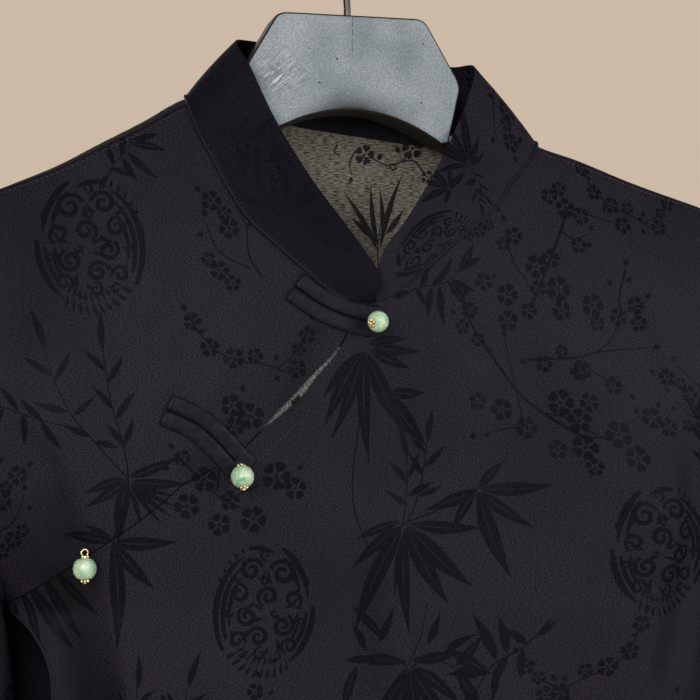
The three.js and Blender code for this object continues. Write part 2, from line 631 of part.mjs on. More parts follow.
BEADS.forEach((bead) => {
  const onCloth = sheetPoint(-1, bead.x, bead.z, "reach");
  const clear = bead.name === "underarm" ? SEAM_GAP : STRAP_LIFT + STRAP_WALL + 3 * SEAM_GAP;
  const place = new THREE.Vector3(bead.x, onCloth.y - clear - Math.max(bead.radius, bead.half), bead.z);
  const turn = new THREE.Quaternion().setFromUnitVectors(
    new THREE.Vector3(0, 1, 0),
    new THREE.Vector3(...bead.axis).normalize(),
  );
  const stone = addPiece(`bead_${bead.name}`, lathed(beadProfile(bead), 18), jade);
  const pin = addPiece(`pin_${bead.name}`, lathed(pinProfile(bead), 10), gilt);
  [stone, pin].forEach((mesh) => {
    mesh.position.copy(place);
    mesh.quaternion.copy(turn);
  });
});

// ---- hanger ---------------------------------------------------------------------------------

function toSolid(geometry) {
  const plain = geometry.clone();
  plain.deleteAttribute("normal");
  plain.deleteAttribute("uv");
  const merged = mergeVertices(plain, 1e-4);
  return new wasm.Manifold(new wasm.Mesh({
    numProp: 3,
    vertProperties: new Float32Array(merged.attributes.position.array),
    triVerts: new Uint32Array(merged.index.array),
  }));
}

function fromSolid(solid) {
  const { vertProperties, triVerts } = solid.getMesh();
  const geometry = new THREE.BufferGeometry();
  geometry.setAttribute("position", new THREE.Float32BufferAttribute(vertProperties, 3));
  geometry.setIndex([...triVerts]);
  geometry.computeVertexNormals();
  return geometry;
}

function headSolid() {
  const outline = new THREE.Shape();
  outline.moveTo(-50, -132);
  outline.lineTo(-55.5, -107);
  outline.quadraticCurveTo(-56.5, -103, -54, -98.5);
  outline.lineTo(-39.5, -74);
  outline.quadraticCurveTo(-37.5, HEAD_TOP, -32, HEAD_TOP);
  outline.lineTo(32, HEAD_TOP);
  outline.quadraticCurveTo(37.5, HEAD_TOP, 39.5, -74);
  outline.lineTo(54, -98.5);
  outline.quadraticCurveTo(56.5, -103, 55.5, -107);
  outline.lineTo(50, -132);
  const archSteps = 22;
  for (let i = 0; i < archSteps; i += 1) {
    const x = lerp(46, -46, i / (archSteps - 1));
    outline.lineTo(x, ARCH_TOP - ARCH_DROP * (Math.abs(x) / ARCH_REACH) ** ARCH_POWER);
  }
  outline.closePath();
  const depth = 2 * (HEAD_HALF_DEPTH - HEAD_BEVEL);
  const geometry = new THREE.ExtrudeGeometry(outline, {
    depth, bevelEnabled: true, bevelThickness: HEAD_BEVEL, bevelSize: HEAD_BEVEL,
    bevelOffset: -HEAD_BEVEL, bevelSegments: 3, curveSegments: 5,
  });
  geometry.translate(0, 0, -depth / 2);
  geometry.rotateX(Math.PI / 2);
  return toSolid(geometry);
}

// The bar's sections run from one end to the other: round above, flat below.
function barSolid() {
  const rows = [...HANGER_BAR.slice(1).reverse().map((row) => ({ ...row, x: -row.x })), ...HANGER_BAR];
  const around = 14;
  const grid = rows.map((row) => Array.from({ length: around }, (_, i) => {
    const angle = 2 * Math.PI * i / around;
    const middle = (row.top + row.bottom) / 2;
    const tall = (row.top - row.bottom) / 2;
    const squared = (value) => Math.sign(value) * Math.abs(value) ** BAR_SQUARENESS;
    const forward = -ARM_FORWARD * (row.x / 198) ** 2;
    return new THREE.Vector3(row.x, forward + row.half * squared(Math.sin(angle)), middle + tall * squared(Math.cos(angle)));
  }));
  const positions = grid.flat().flatMap((point) => [point.x, point.y, point.z]);
  const index = [];
  for (let r = 0; r < rows.length - 1; r += 1) {
    for (let i = 0; i < around; i += 1) {
      const [a, b] = [r * around + i, r * around + (i + 1) % around];
      index.push(a, a + around, b, b, a + around, b + around);
    }
  }
  for (let i = 1; i < around - 1; i += 1) {
    index.push(0, i, i + 1);
    const base = (rows.length - 1) * around;
    index.push(base, base + i + 1, base + i);
  }
  const geometry = new THREE.BufferGeometry();
  geometry.setAttribute("position", new THREE.Float32BufferAttribute(positions, 3));
  geometry.setIndex(index);
  return toSolid(geometry);
}

addPiece("hanger_body", fromSolid(headSolid().add(barSolid())), paint);

function hookGeometry() {
  const radius = HOOK_RADIUS + ROD_RADIUS;
  const points = [SEAM_GAP, 6, 13].map((height) => new THREE.Vector3(0, 0, HEAD_TOP + height));
  const centreZ = ROD_RADIUS - radius;
  for (let degrees = -35; degrees <= 205; degrees += 15) {
    const angle = THREE.MathUtils.degToRad(degrees);
    points.push(new THREE.Vector3(radius * Math.cos(angle), 0, centreZ + radius * Math.sin(angle)));
  }
  const section = new THREE.Shape();
  section.absarc(0, 0, ROD_RADIUS, 0, 2 * Math.PI);
  return new THREE.ExtrudeGeometry(section, {
    steps: 56, curveSegments: 5, bevelEnabled: false, extrudePath: new THREE.CatmullRomCurve3(points),
  });
}
addPiece("hanger_hook", hookGeometry(), steel);

export default group;
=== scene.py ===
import math
import bmesh
import bpy
import numpy as np
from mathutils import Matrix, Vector
from mathutils.geometry import delaunay_2d_cdt


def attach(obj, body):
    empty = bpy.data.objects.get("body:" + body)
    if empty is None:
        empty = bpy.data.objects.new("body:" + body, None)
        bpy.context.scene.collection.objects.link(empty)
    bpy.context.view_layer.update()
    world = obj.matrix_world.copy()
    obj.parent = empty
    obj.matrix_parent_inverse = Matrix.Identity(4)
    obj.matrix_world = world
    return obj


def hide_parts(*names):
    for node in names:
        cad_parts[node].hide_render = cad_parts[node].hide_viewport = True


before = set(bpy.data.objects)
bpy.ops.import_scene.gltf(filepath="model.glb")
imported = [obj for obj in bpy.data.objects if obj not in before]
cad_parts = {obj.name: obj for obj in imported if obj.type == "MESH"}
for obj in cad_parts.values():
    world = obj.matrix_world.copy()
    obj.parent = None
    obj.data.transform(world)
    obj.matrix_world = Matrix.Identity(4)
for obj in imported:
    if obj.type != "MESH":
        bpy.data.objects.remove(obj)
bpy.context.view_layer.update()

# ---- Studio --------------------------------------------------------------------------
# A long lens at chest height, a little to the wearer's right of the garment. One broad
# soft light stands high on that side, with weaker ones opposite, above and behind.

camera_turn = math.radians(-14)
camera_data = bpy.data.cameras.new("camera")
camera_data.lens = 80
camera_data.sensor_width = 36
camera = bpy.data.objects.new("camera", camera_data)
camera.location = (-0.18647, -0.75392, -0.2352)
camera.rotation_euler = (math.pi / 2, 0, camera_turn)
bpy.context.collection.objects.link(camera)
bpy.context.scene.camera = camera
bpy.context.scene.view_settings.view_transform = "Standard"

world = bpy.data.worlds.new("pale_room")
world.use_nodes = True
bpy.context.scene.world = world
room = world.node_tree.nodes["Background"]
room.inputs["Color"].default_value = (0.60, 0.57, 0.56, 1)
room.inputs["Strength"].default_value = 0.5

for name, place, aim, width, power, colour in (
    ("window_light", (-1.0, -1.7, 0.35), (0, 0, -0.35), 1.3, 42, (0.97, 0.97, 1.0)),
    ("right_fill", (1.3, -1.5, 0.0), (0.1, 0, -0.4), 1.2, 27, (0.96, 0.97, 1.0)),
    ("top_light", (-0.2, 0.3, 1.4), (0, 0, -0.2), 0.8, 1, (1.0, 0.97, 0.94)),
    ("back_light", (-1.3, 1.8, 0.3), (0, 0, -0.4), 1.2, 22, (0.97, 0.97, 1.0)),
):
    light_data = bpy.data.lights.new(name, "AREA")
    light_data.size = width
    light_data.energy = power
    light_data.color = colour
    light = bpy.data.objects.new(name, light_data)
    light.location = place
    light.rotation_euler = (Vector(aim) - Vector(place)).to_track_quat("-Z", "Y").to_euler()
    bpy.context.collection.objects.link(light)

bpy.ops.object.select_all(action="DESELECT")
bpy.ops.mesh.primitive_plane_add(size=5, location=(0, 0.4, -0.95))
studio_floor = bpy.context.active_object
studio_floor.name = "studio_floor"
floor_paint = bpy.data.materials.new("floor_paint")
floor_paint.use_nodes = True
floor_skin = floor_paint.node_tree.nodes["Principled BSDF"]
floor_skin.inputs["Base Color"].default_value = (0.62, 0.52, 0.44, 1)
floor_skin.inputs["Roughness"].default_value = 0.8
studio_floor.data.materials.append(floor_paint)

bpy.ops.object.select_all(action="DESELECT")
bpy.ops.mesh.primitive_plane_add(size=7, location=(0.8, 3.2, 0), rotation=(math.pi / 2, 0, camera_turn))
backdrop = bpy.context.active_object
backdrop.name = "backdrop"
wall_paint = bpy.data.materials.new("wall_paint")
wall_paint.use_nodes = True
wall_skin = wall_paint.node_tree.nodes["Principled BSDF"]
wall_skin.inputs["Base Color"].default_value = (0, 0, 0, 1)
wall_skin.inputs["Specular IOR Level"].default_value = 0.0
wall_skin.inputs["Emission Color"].default_value = (0.610, 0.490, 0.385, 1)
wall_skin.inputs["Emission Strength"].default_value = 1.0
backdrop.data.materials.append(wall_paint)

# ---- Front flap ----------------------------------------------------------------------
# The large front: one panel of black silk jacquard from the slant opening to the wearer's
# left. It hangs from the shoulder, and its side edge on the right stands open under the arm.
# All panels lie on two sheets, a front and a back, that meet over the hanger's ridge.

CENTRE = 5.0
ROLL = 7.0  # how round the cloth lies over the hanger, in millimetres as all sizes of cloth
OVER = ROLL * (math.pi / 2 - 1)
ARMPIT = -354.0
HEM = -712.0
SHADED_INSIDE_BELOW = -250.0  # from this height down the inside of the body takes the dark ground, a painted shade
SEAM_GAP = 0.3
CLOTH = 0.8
FRONT_STAND, FRONT_RISE = 35, 60  # how far the front stands off the middle, and how soon
BACK_STAND, BACK_RISE = 30, 40
FORWARD, FORWARD_WIDTH, FORWARD_RISE = 8, 198, 150  # the shoulders' ends come a little forward
NUDGE = 0.4  # the step at which a normal is measured

SHOULDER = (  # across, height of the ridge, how far below it the shoulder seam lies
    (-192, -169.8, 0.8), (-169, -159.5, 1.2), (-143, -147.9, 2.2), (-124, -137.3, 3.0),
    (-101.6, -125, 3.8), (-82, -113.5, 4.2), (5, -85, 4.2), (98, -130, 2.6),
    (120.6, -137.3, 2.6), (151.9, -148.9, 2.2), (192.4, -162.2, 1.2), (203, -167, 0.8),
)
SIDES = (  # height, then half widths: armhole, its closing, flap edge, its closing, back edge
    (-166, 198, 420, 198, 420, 420), (-215, 186, 370, 186, 370, 370),
    (-260, 181.5, 320, 181.5, 320, 320), (-310, 178.5, 232, 178.5, 232, 232),
    (-335, 176, 192, 176, 192, 192), (-354, 172.3, 172.3, 172.3, 172.3, 172.3),
    (-364, 170.5, 170.5, 161.5, 177, 176.5), (-380, 168.5, 168.5, 153.5, 178, 174),
    (-400, 167, 167, 152, 175, 172.5), (-450, 164, 164, 154, 164, 170),
    (-500, 162.5, 162.5, 157.5, 160.5, 163.5), (-545, 162.5, 162.5, 160.5, 160.5, 161),
    (-620, 165, 165, 164, 164, 164), (-712, 171, 171, 171, 171, 171),
)
ARM, REACH, FLAP, FLAP_REACH, BACK_EDGE = 1, 2, 3, 4, 5
SLANT = (  # across, height and how far the two edges part
    (3, -213, 0.6), (-6.7, -221, 0.6), (-11.1, -230.4, 0.8), (-17.4, -239, 1.6),
    (-25.2, -247, 2.4), (-33, -256, 3.4), (-41.2, -263.5, 2.6), (-51.2, -272.8, 0.9),
    (-60.3, -281.6, 0.6), (-72.1, -289.3, 0.6), (-88, -297.4, 0.6), (-97.3, -305.5, 0.6),
    (-113.8, -317.5, 0.6), (-132.4, -330.3, 0.6), (-147.7, -340.7, 0.6),
    (-160.5, -349.3, 0.6), (-167.3, -354, 0.6),
)
NECK = (  # the neck seam from the right front end round the back to the left front end
    (3, -213), (-15, -209), (-32.5, -195.5), (-46, -183.8), (-58, -172), (-71.5, -147),
    (-79.5, -127), (-81, -113), (-70, -114.5), (-34, -119.5), (8, -124.6), (52, -130),
    (86, -133), (98, -130), (90, -141.5), (78, -153.4), (69.5, -164.5), (59, -173.5),
    (44.8, -184), (30, -196.5), (12, -210.5),
)
LEFT_RIDGE, RIGHT_RIDGE, LAST_NECK = 7, 13, 20

FRONT_FOLDS = (  # from, to, depth of the trough (a ridge is below 0) and half width
    (-131, -338, -112, -560, 13, 15), (-158, -262, -138, -338, 4, 14),
    (-62, -400, -66, -740, 6, 26), (30, -430, 24, -740, 5, 30),
    (110, -330, 92, -740, 7, 24), (168, -250, 140, -420, 6, 15),
    (-148, -352, -140, -470, -3.5, 8), (-118, -360, -92, -520, -2.5, 9),
    (-100, -140, -122, -190, 1.6, 10), (-60, -205, -95, -240, 1.6, 8),
    (-48, -216, -78, -262, -1.4, 7), (-30, -228, -58, -268, 1.2, 7),
    (-150, -190, -160, -300, 1.6, 14), (-90, -210, -118, -330, -1.5, 20),
    (64, -185, 96, -290, 1.5, 16), (40, -205, 60, -330, -1.4, 18),
    (120, -160, 150, -260, 1.8, 15), (100, -200, 128, -330, -1.4, 16),
    (12, -232, 26, -330, 1.2, 12), (-14, -236, -22, -350, -1.0, 12),
    (-20, -380, -16, -700, -2.0, 18), (66, -360, 62, -700, -2.2, 18),
    (150, -380, 146, -700, -2.5, 12), (-100, -430, -104, -700, -2.0, 16),
)
SHADED = (  # painted shade in the folds: as the folds, with a share of 1 in place of the depth
    (-150, -270, -118, -470, 0.62, 19), (-172, -290, -150, -348, 0.25, 14), (-16, -205, -44, -272, 0.30, 13),
    (-2, -318, 6, -410, 0.25, 14), (-150, -140, -150, -250, 0.22, 34), (-70, -268, -84, -300, 0.3, 16),
    (-142, -440, -118, -720, 0.35, 16),
)
BACK_FOLDS = (
    (-128, -300, -108, -740, 8, 22), (-30, -420, -34, -740, 5, 28),
    (60, -380, 52, -740, 6, 26), (138, -300, 122, -740, 8, 20),
    (-90, -150, -60, -330, 2.0, 20), (100, -150, 70, -330, 2.0, 20),
    (0, -160, 6, -420, -2.0, 24), (-150, -200, -150, -360, 2.0, 12),
    (158, -200, 160, -360, 2.0, 12), (-70, -400, -74, -700, -2.5, 18),
    (14, -430, 10, -700, -2.0, 18), (92, -380, 88, -700, -2.5, 16),
)


def table_at(rows, column, at):
    """A column of a table at places in its first column, on a smooth curve."""
    rows = np.array(rows, float)
    if rows[0, 0] > rows[-1, 0]:
        rows = rows[::-1]
    place, value = rows[:, 0], rows[:, column]
    number = np.arange(len(rows))
    before, after = np.maximum(number - 1, 0), np.minimum(number + 1, len(rows) - 1)
    slope = (value[after] - value[before]) / (place[after] - place[before])
    i = np.clip(np.searchsorted(place, at) - 1, 0, len(rows) - 2)
    span = place[i + 1] - place[i]
    t = np.clip((at - place[i]) / span, -0.5, 1.5)
    return ((2 * t**3 - 3 * t**2 + 1) * value[i] + (t**3 - 2 * t**2 + t) * span * slope[i]
            + (3 * t**2 - 2 * t**3) * value[i + 1] + (t**3 - t**2) * span * slope[i + 1])


def rows_of(*columns):
    """Places from their columns; a single number is the same all along."""
    return np.stack(np.broadcast_arrays(*columns), axis=1)


def bend(p0, p1, p2, p3, part):
    """Places from p1 (part 0) to p2 (part 1) on a smooth curve through four points."""
    step = [np.maximum(np.sum((b - a)**2, axis=-1, keepdims=True)**0.25, 1e-4)
            for a, b in ((p0, p1), (p1, p2), (p2, p3))]
    out = ((p1 - p0) / step[0] - (p2 - p0) / (step[0] + step[1]) + (p2 - p1) / step[1]) * step[1]
    into = ((p2 - p1) / step[1] - (p3 - p1) / (step[1] + step[2]) + (p3 - p2) / step[2]) * step[1]
    return ((2 * part**3 - 3 * part**2 + 1) * p1 + (part**3 - 2 * part**2 + part) * out
            + (3 * part**2 - 2 * part**3) * p2 + (part**3 - part**2) * into)


def strand(points, t):
    """Places at t, from 0 to 1, on a smooth curve through points (or through rows of points)."""
    points = np.array(points, float)
    t = np.atleast_1d(np.asarray(t, float)) * (len(points) - 1)
    full = np.concatenate([[2 * points[0] - points[1]], points, [2 * points[-1] - points[-2]]])
    i = np.clip(np.floor(t).astype(int), 0, len(points) - 2)
    part = (t - i).reshape((-1,) + (1,) * (points.ndim - 1))
    return bend(full[i], full[i + 1], full[i + 2], full[i + 3], part)


def ease(value, start, end):
    """Rises softly from 0 at start to 1 at end."""
    t = np.clip((value - start) / (end - start), 0, 1)
    return t * t * (3 - 2 * t)


# The section of the body is a squared oval. Cloth is laid out by its length round that
# oval, so that a pattern keeps its size where the cloth turns the side.
ring = 1 - (1 - np.linspace(0, 1, 900))**2
ring_depth = np.sqrt(1 - ring**4)
ring_length = np.concatenate([[0], np.cumsum(np.hypot(np.diff(ring), 0.25 * np.diff(ring_depth)))])
RING_END = ring_length[-1]


def unroll(x, height, edge):
    """The flat place across of a point at x on the body."""
    reach = table_at(SIDES, edge, height)
    return CENTRE + np.sign(x - CENTRE) * reach * np.interp(np.abs(x - CENTRE) / reach, ring, ring_length)


def flat_height(x, z, side):
    """The flat height of a point at height z; side is 1 on the panel's own face of the
    ridge, and -1 where it has gone over it."""
    ridge = table_at(SHOULDER, 1, x)
    drop = np.maximum(ridge - z, 0)
    far = np.where(drop < ROLL, ROLL * np.arccos(np.clip(1 - drop / ROLL, -1, 1)), drop + OVER)
    return ridge + OVER - side * far


def fold_depth(folds, x, z):
    """How far the folds draw the cloth in at each place."""
    depth = np.zeros_like(x)
    for x0, z0, x1, z1, deep, half in folds:
        way = (z0 - z) / (z0 - z1)
        off = (x - (x0 + (x1 - x0) * way)) / half
        soft = ease(way, 0, 0.35) * ease(1 - way, 0, 0.2)
        depth += np.where(np.abs(off) < 1, deep * np.cos(np.clip(off, -1, 1) * math.pi / 2)**2 * soft, 0)
    return depth


def on_body(face, across, height, edge):
    """Places on the front sheet (face -1) or the back sheet (face 1)."""
    reach = table_at(SIDES, edge, height)
    way = np.clip(np.abs(across - CENTRE) / reach, 0, RING_END)
    x = CENTRE + np.sign(across - CENTRE) * reach * np.interp(way, ring_length, ring)
    closing = np.interp(way, ring_length, ring_depth)
    ridge = table_at(SHOULDER, 1, x)
    roll = ridge + OVER - height
    side = np.where(roll < 0, -face, face)
    far = np.abs(roll)
    near = far < ROLL * math.pi / 2
    drop = np.where(near, ROLL * (1 - np.cos(far / ROLL)), far - OVER)
    z = ridge - drop
    front = side < 0
    stand = np.where(near, ROLL * np.sin(far / ROLL), ROLL) + np.where(
        front, FRONT_STAND * (1 - np.exp(-drop / FRONT_RISE)), BACK_STAND * (1 - np.exp(-drop / BACK_RISE)))
    folds = np.where(front, fold_depth(FRONT_FOLDS, x, z), fold_depth(BACK_FOLDS, x, z))
    slack = (0.35 * np.sin(x / 19 + z / 37) + 0.3 * np.sin(x / 11 - z / 29 + 1.3)) * ease(drop, 4, 40)
    depth = np.maximum((stand - folds - slack) * closing, SEAM_GAP / 2)
    middle = -FORWARD * (np.abs(x - CENTRE) / FORWARD_WIDTH)**2 * np.clip((z - ARMPIT) / FORWARD_RISE, 0, 1)
    return np.stack([x, middle + side * depth, z], axis=-1)


# Figures of the jacquard, drawn flat in millimetres: bamboo, plum blossom and roundels.

def beside(way):
    """The directions square to the way, on its left."""
    return rows_of(-way[:, 1], way[:, 0])


def outline_of(points, widths):
    """A stroke's outline: its middle line and its width at each point."""
    points = np.array(points, float)
    way = np.gradient(points, axis=0)
    way /= np.maximum(np.hypot(way[:, 0], way[:, 1]), 1e-6)[:, None]
    side = beside(way) * np.array(widths, float)[:, None] / 2
    return np.concatenate([points - side, (points + side)[::-1]])


def turned(shapes, x, y, degrees=0.0, size=1.0, flip=False):
    a = math.radians(degrees)
    turn = np.array([[math.cos(a), math.sin(a)], [-math.sin(a), math.cos(a)]]) * size
    mirror = np.array([-1.0 if flip else 1.0, 1.0])
    return [(shape * mirror) @ turn + (x, y) for shape in shapes]


def leaf(x, y, degrees, length, width, arc=0.08):
    """A bamboo leaf; a broad one is woven in two halves with a pale rib between them."""
    t = np.linspace(0, 1, 6 if length < 15 else 10)
    half = width / 2 * np.sin(math.pi * t**0.78)**1.15
    half[0] = half[-1] = 0
    middle = rows_of(length * t, arc * length * t * (1.9 * t - 1))
    up = middle + rows_of(0, half)
    down = middle - rows_of(0, half)
    if width < 4.2:
        return turned([np.concatenate([down, up[-2:0:-1]])], x, y, degrees)
    rib = rows_of(0, 0.22 * np.sin(math.pi * np.clip(t * 1.3, 0, 1)))
    return turned([np.concatenate([down, (middle - rib)[-2:0:-1]]),
                   np.concatenate([middle + rib, up[-2:0:-1]])], x, y, degrees)


def stalk(points, width=0.8):
    line = strand(points, np.linspace(0, 1, 4 * len(points) - 3))
    return [outline_of(line, np.linspace(width, width * 0.6, len(line)))]


def blossom(x, y, radius, turn=0.0):
    """Five notched petals round a pale eye with a dark dot."""
    shapes = []
    for petal in range(5):
        a = np.radians(turn + 72 * petal + np.array([-9, -27, -31, -20, -7, 0, 7, 20, 31, 27, 9]))
        r = radius * np.array([0.30, 0.52, 0.78, 0.98, 1.0, 0.92, 1.0, 0.98, 0.78, 0.52, 0.30])
        shapes.append(rows_of(x + r * np.cos(a), y + r * np.sin(a)))
    a = np.radians(np.arange(0, 360, 60))
    shapes.append(rows_of(x + 0.15 * radius * np.cos(a), y + 0.15 * radius * np.sin(a)))
    return shapes


def scroll(x, y, radius, start, turns, width):
    a = np.linspace(0, turns * 2 * math.pi, max(int(abs(turns) * 16), 8))
    r = radius * (1 - 0.82 * np.linspace(0, 1, len(a)))
    line = rows_of(x + r * np.cos(a + math.radians(start)), y + r * np.sin(a + math.radians(start)))
    return outline_of(line, width * (0.45 + 0.55 * np.sin(np.linspace(0.15, 1, len(a)) * math.pi)))


def roundel():
    """An oval roundel of plumes, combs and cloud scrolls, 50 mm wide and 66 mm high."""
    shapes = []
    for start, span, inset, width in (
        (-34, 100, 0, 2.8), (-26, 84, 3.6, 2.2), (-14, 60, 6.8, 1.7), (72, 34, 0.6, 2.4),
        (112, 58, 0, 3.0), (118, 44, 3.8, 2.1), (176, 62, 0, 3.0), (182, 48, 3.6, 2.2), (190, 34, 6.8, 1.6),
    ):
        a = np.radians(np.linspace(start, start + span, 12))
        line = rows_of((24 - inset) * np.cos(a), (32 - inset) * np.sin(a))
        line *= np.linspace(1.0, 0.9, 12)[:, None]
        shapes.append(outline_of(line, width * np.sin(np.linspace(0.12, 1, 12) * math.pi)**0.7 + 0.15))
    for start, end, count, reach, length, width in (
        (242, 318, 10, 1.0, 5.5, 1.5), (238, 322, 11, 0.80, 4.6, 1.2), (30, 66, 5, 1.04, 3.4, 1.4),
        (158, 178, 3, 0.78, 3.6, 1.3), (-60, -40, 3, 1.0, 4.5, 1.4),
    ):
        for degrees in np.linspace(start, end, count):
            a, lean = math.radians(degrees), math.radians(degrees + 16)
            foot = np.array([24 * reach * math.cos(a), 32 * reach * math.sin(a)])
            tip = foot - length * np.array([math.cos(lean), math.sin(lean)])
            shapes.append(outline_of([foot, foot * 0.6 + tip * 0.4, tip], [width * 0.5, width, 0.3]))
    for x, y, radius, start, turns, width in (
        (-9, 18, 6.4, 20, 1.4, 2.5), (6, 20, 5.6, 170, -1.4, 2.4), (12, 9, 4.6, 90, 1.2, 2.0),
        (-14, 5, 4.6, 250, -1.3, 2.1), (-2, 7, 5.2, 300, 1.4, 2.4), (8, -2, 4.8, 60, -1.4, 2.2),
        (-9, -7, 5.4, 120, 1.5, 2.4), (3, -12, 5.0, 10, 1.4, 2.2), (13, -13, 4.2, 200, -1.2, 1.9),
        (-12, -17, 4.2, 320, 1.3, 2.0), (2, -20, 3.4, 100, -1.2, 1.6), (-18, -6, 2.4, 0, 1.0, 1.4),
        (17, 0, 2.4, 180, 1.0, 1.4), (-1, 27, 2.8, 270, 1.1, 1.5), (-20, 13, 2.2, 60, 1.0, 1.2),
        (0, 14, 2.6, 30, 1.0, 1.4), (-5, -1, 2.2, 200, 1.0, 1.2), (11, -20, 2.2, 90, 1.0, 1.2),
    ):
        shapes.append(scroll(x, y, radius, start, turns, width))
    for x, y, degrees, length, width in (
        (-4, 13, 60, 7, 1.9), (1, 13, 100, 7, 1.8), (4, 5, -40, 8, 2.0), (-16, -1, -80, 8, 1.9),
        (15, 5, 80, 7, 1.8), (-3, -2, 200, 7, 1.9), (8, -8, -70, 7, 1.9), (-6, -13, -100, 8, 2.0),
        (-2, -17, -60, 6, 1.7), (-16, 12, 70, 8, 1.9), (11, 15, 20, 7, 1.8), (16, -8, -100, 8, 1.9),
        (-7, -22, -30, 6, 1.7), (0, 1, 20, 6, 1.6), (-10, 1, 160, 6, 1.6), (5, -5, 150, 6, 1.6),
    ):
        shapes += leaf(x, y, degrees, length, width, 0.25)
    return shapes


def sprig(leaves=(), stalks=(), blossoms=(), buds=()):
    """A figure of bamboo or plum, from rows of its parts."""
    shapes = []
    for points, width in stalks:
        shapes += stalk(points, width)
    for x, y, degrees, length, width in leaves:
        shapes += leaf(x, y, degrees, length, width, 0.07 if degrees % 3 else -0.07)
    for number, (x, y, radius) in enumerate(blossoms):
        shapes += blossom(x, y, radius, 23 * number)
    for x, y, degrees, size in buds:
        shapes += leaf(x, y, degrees, size, size * 0.7, 0)
    return shapes


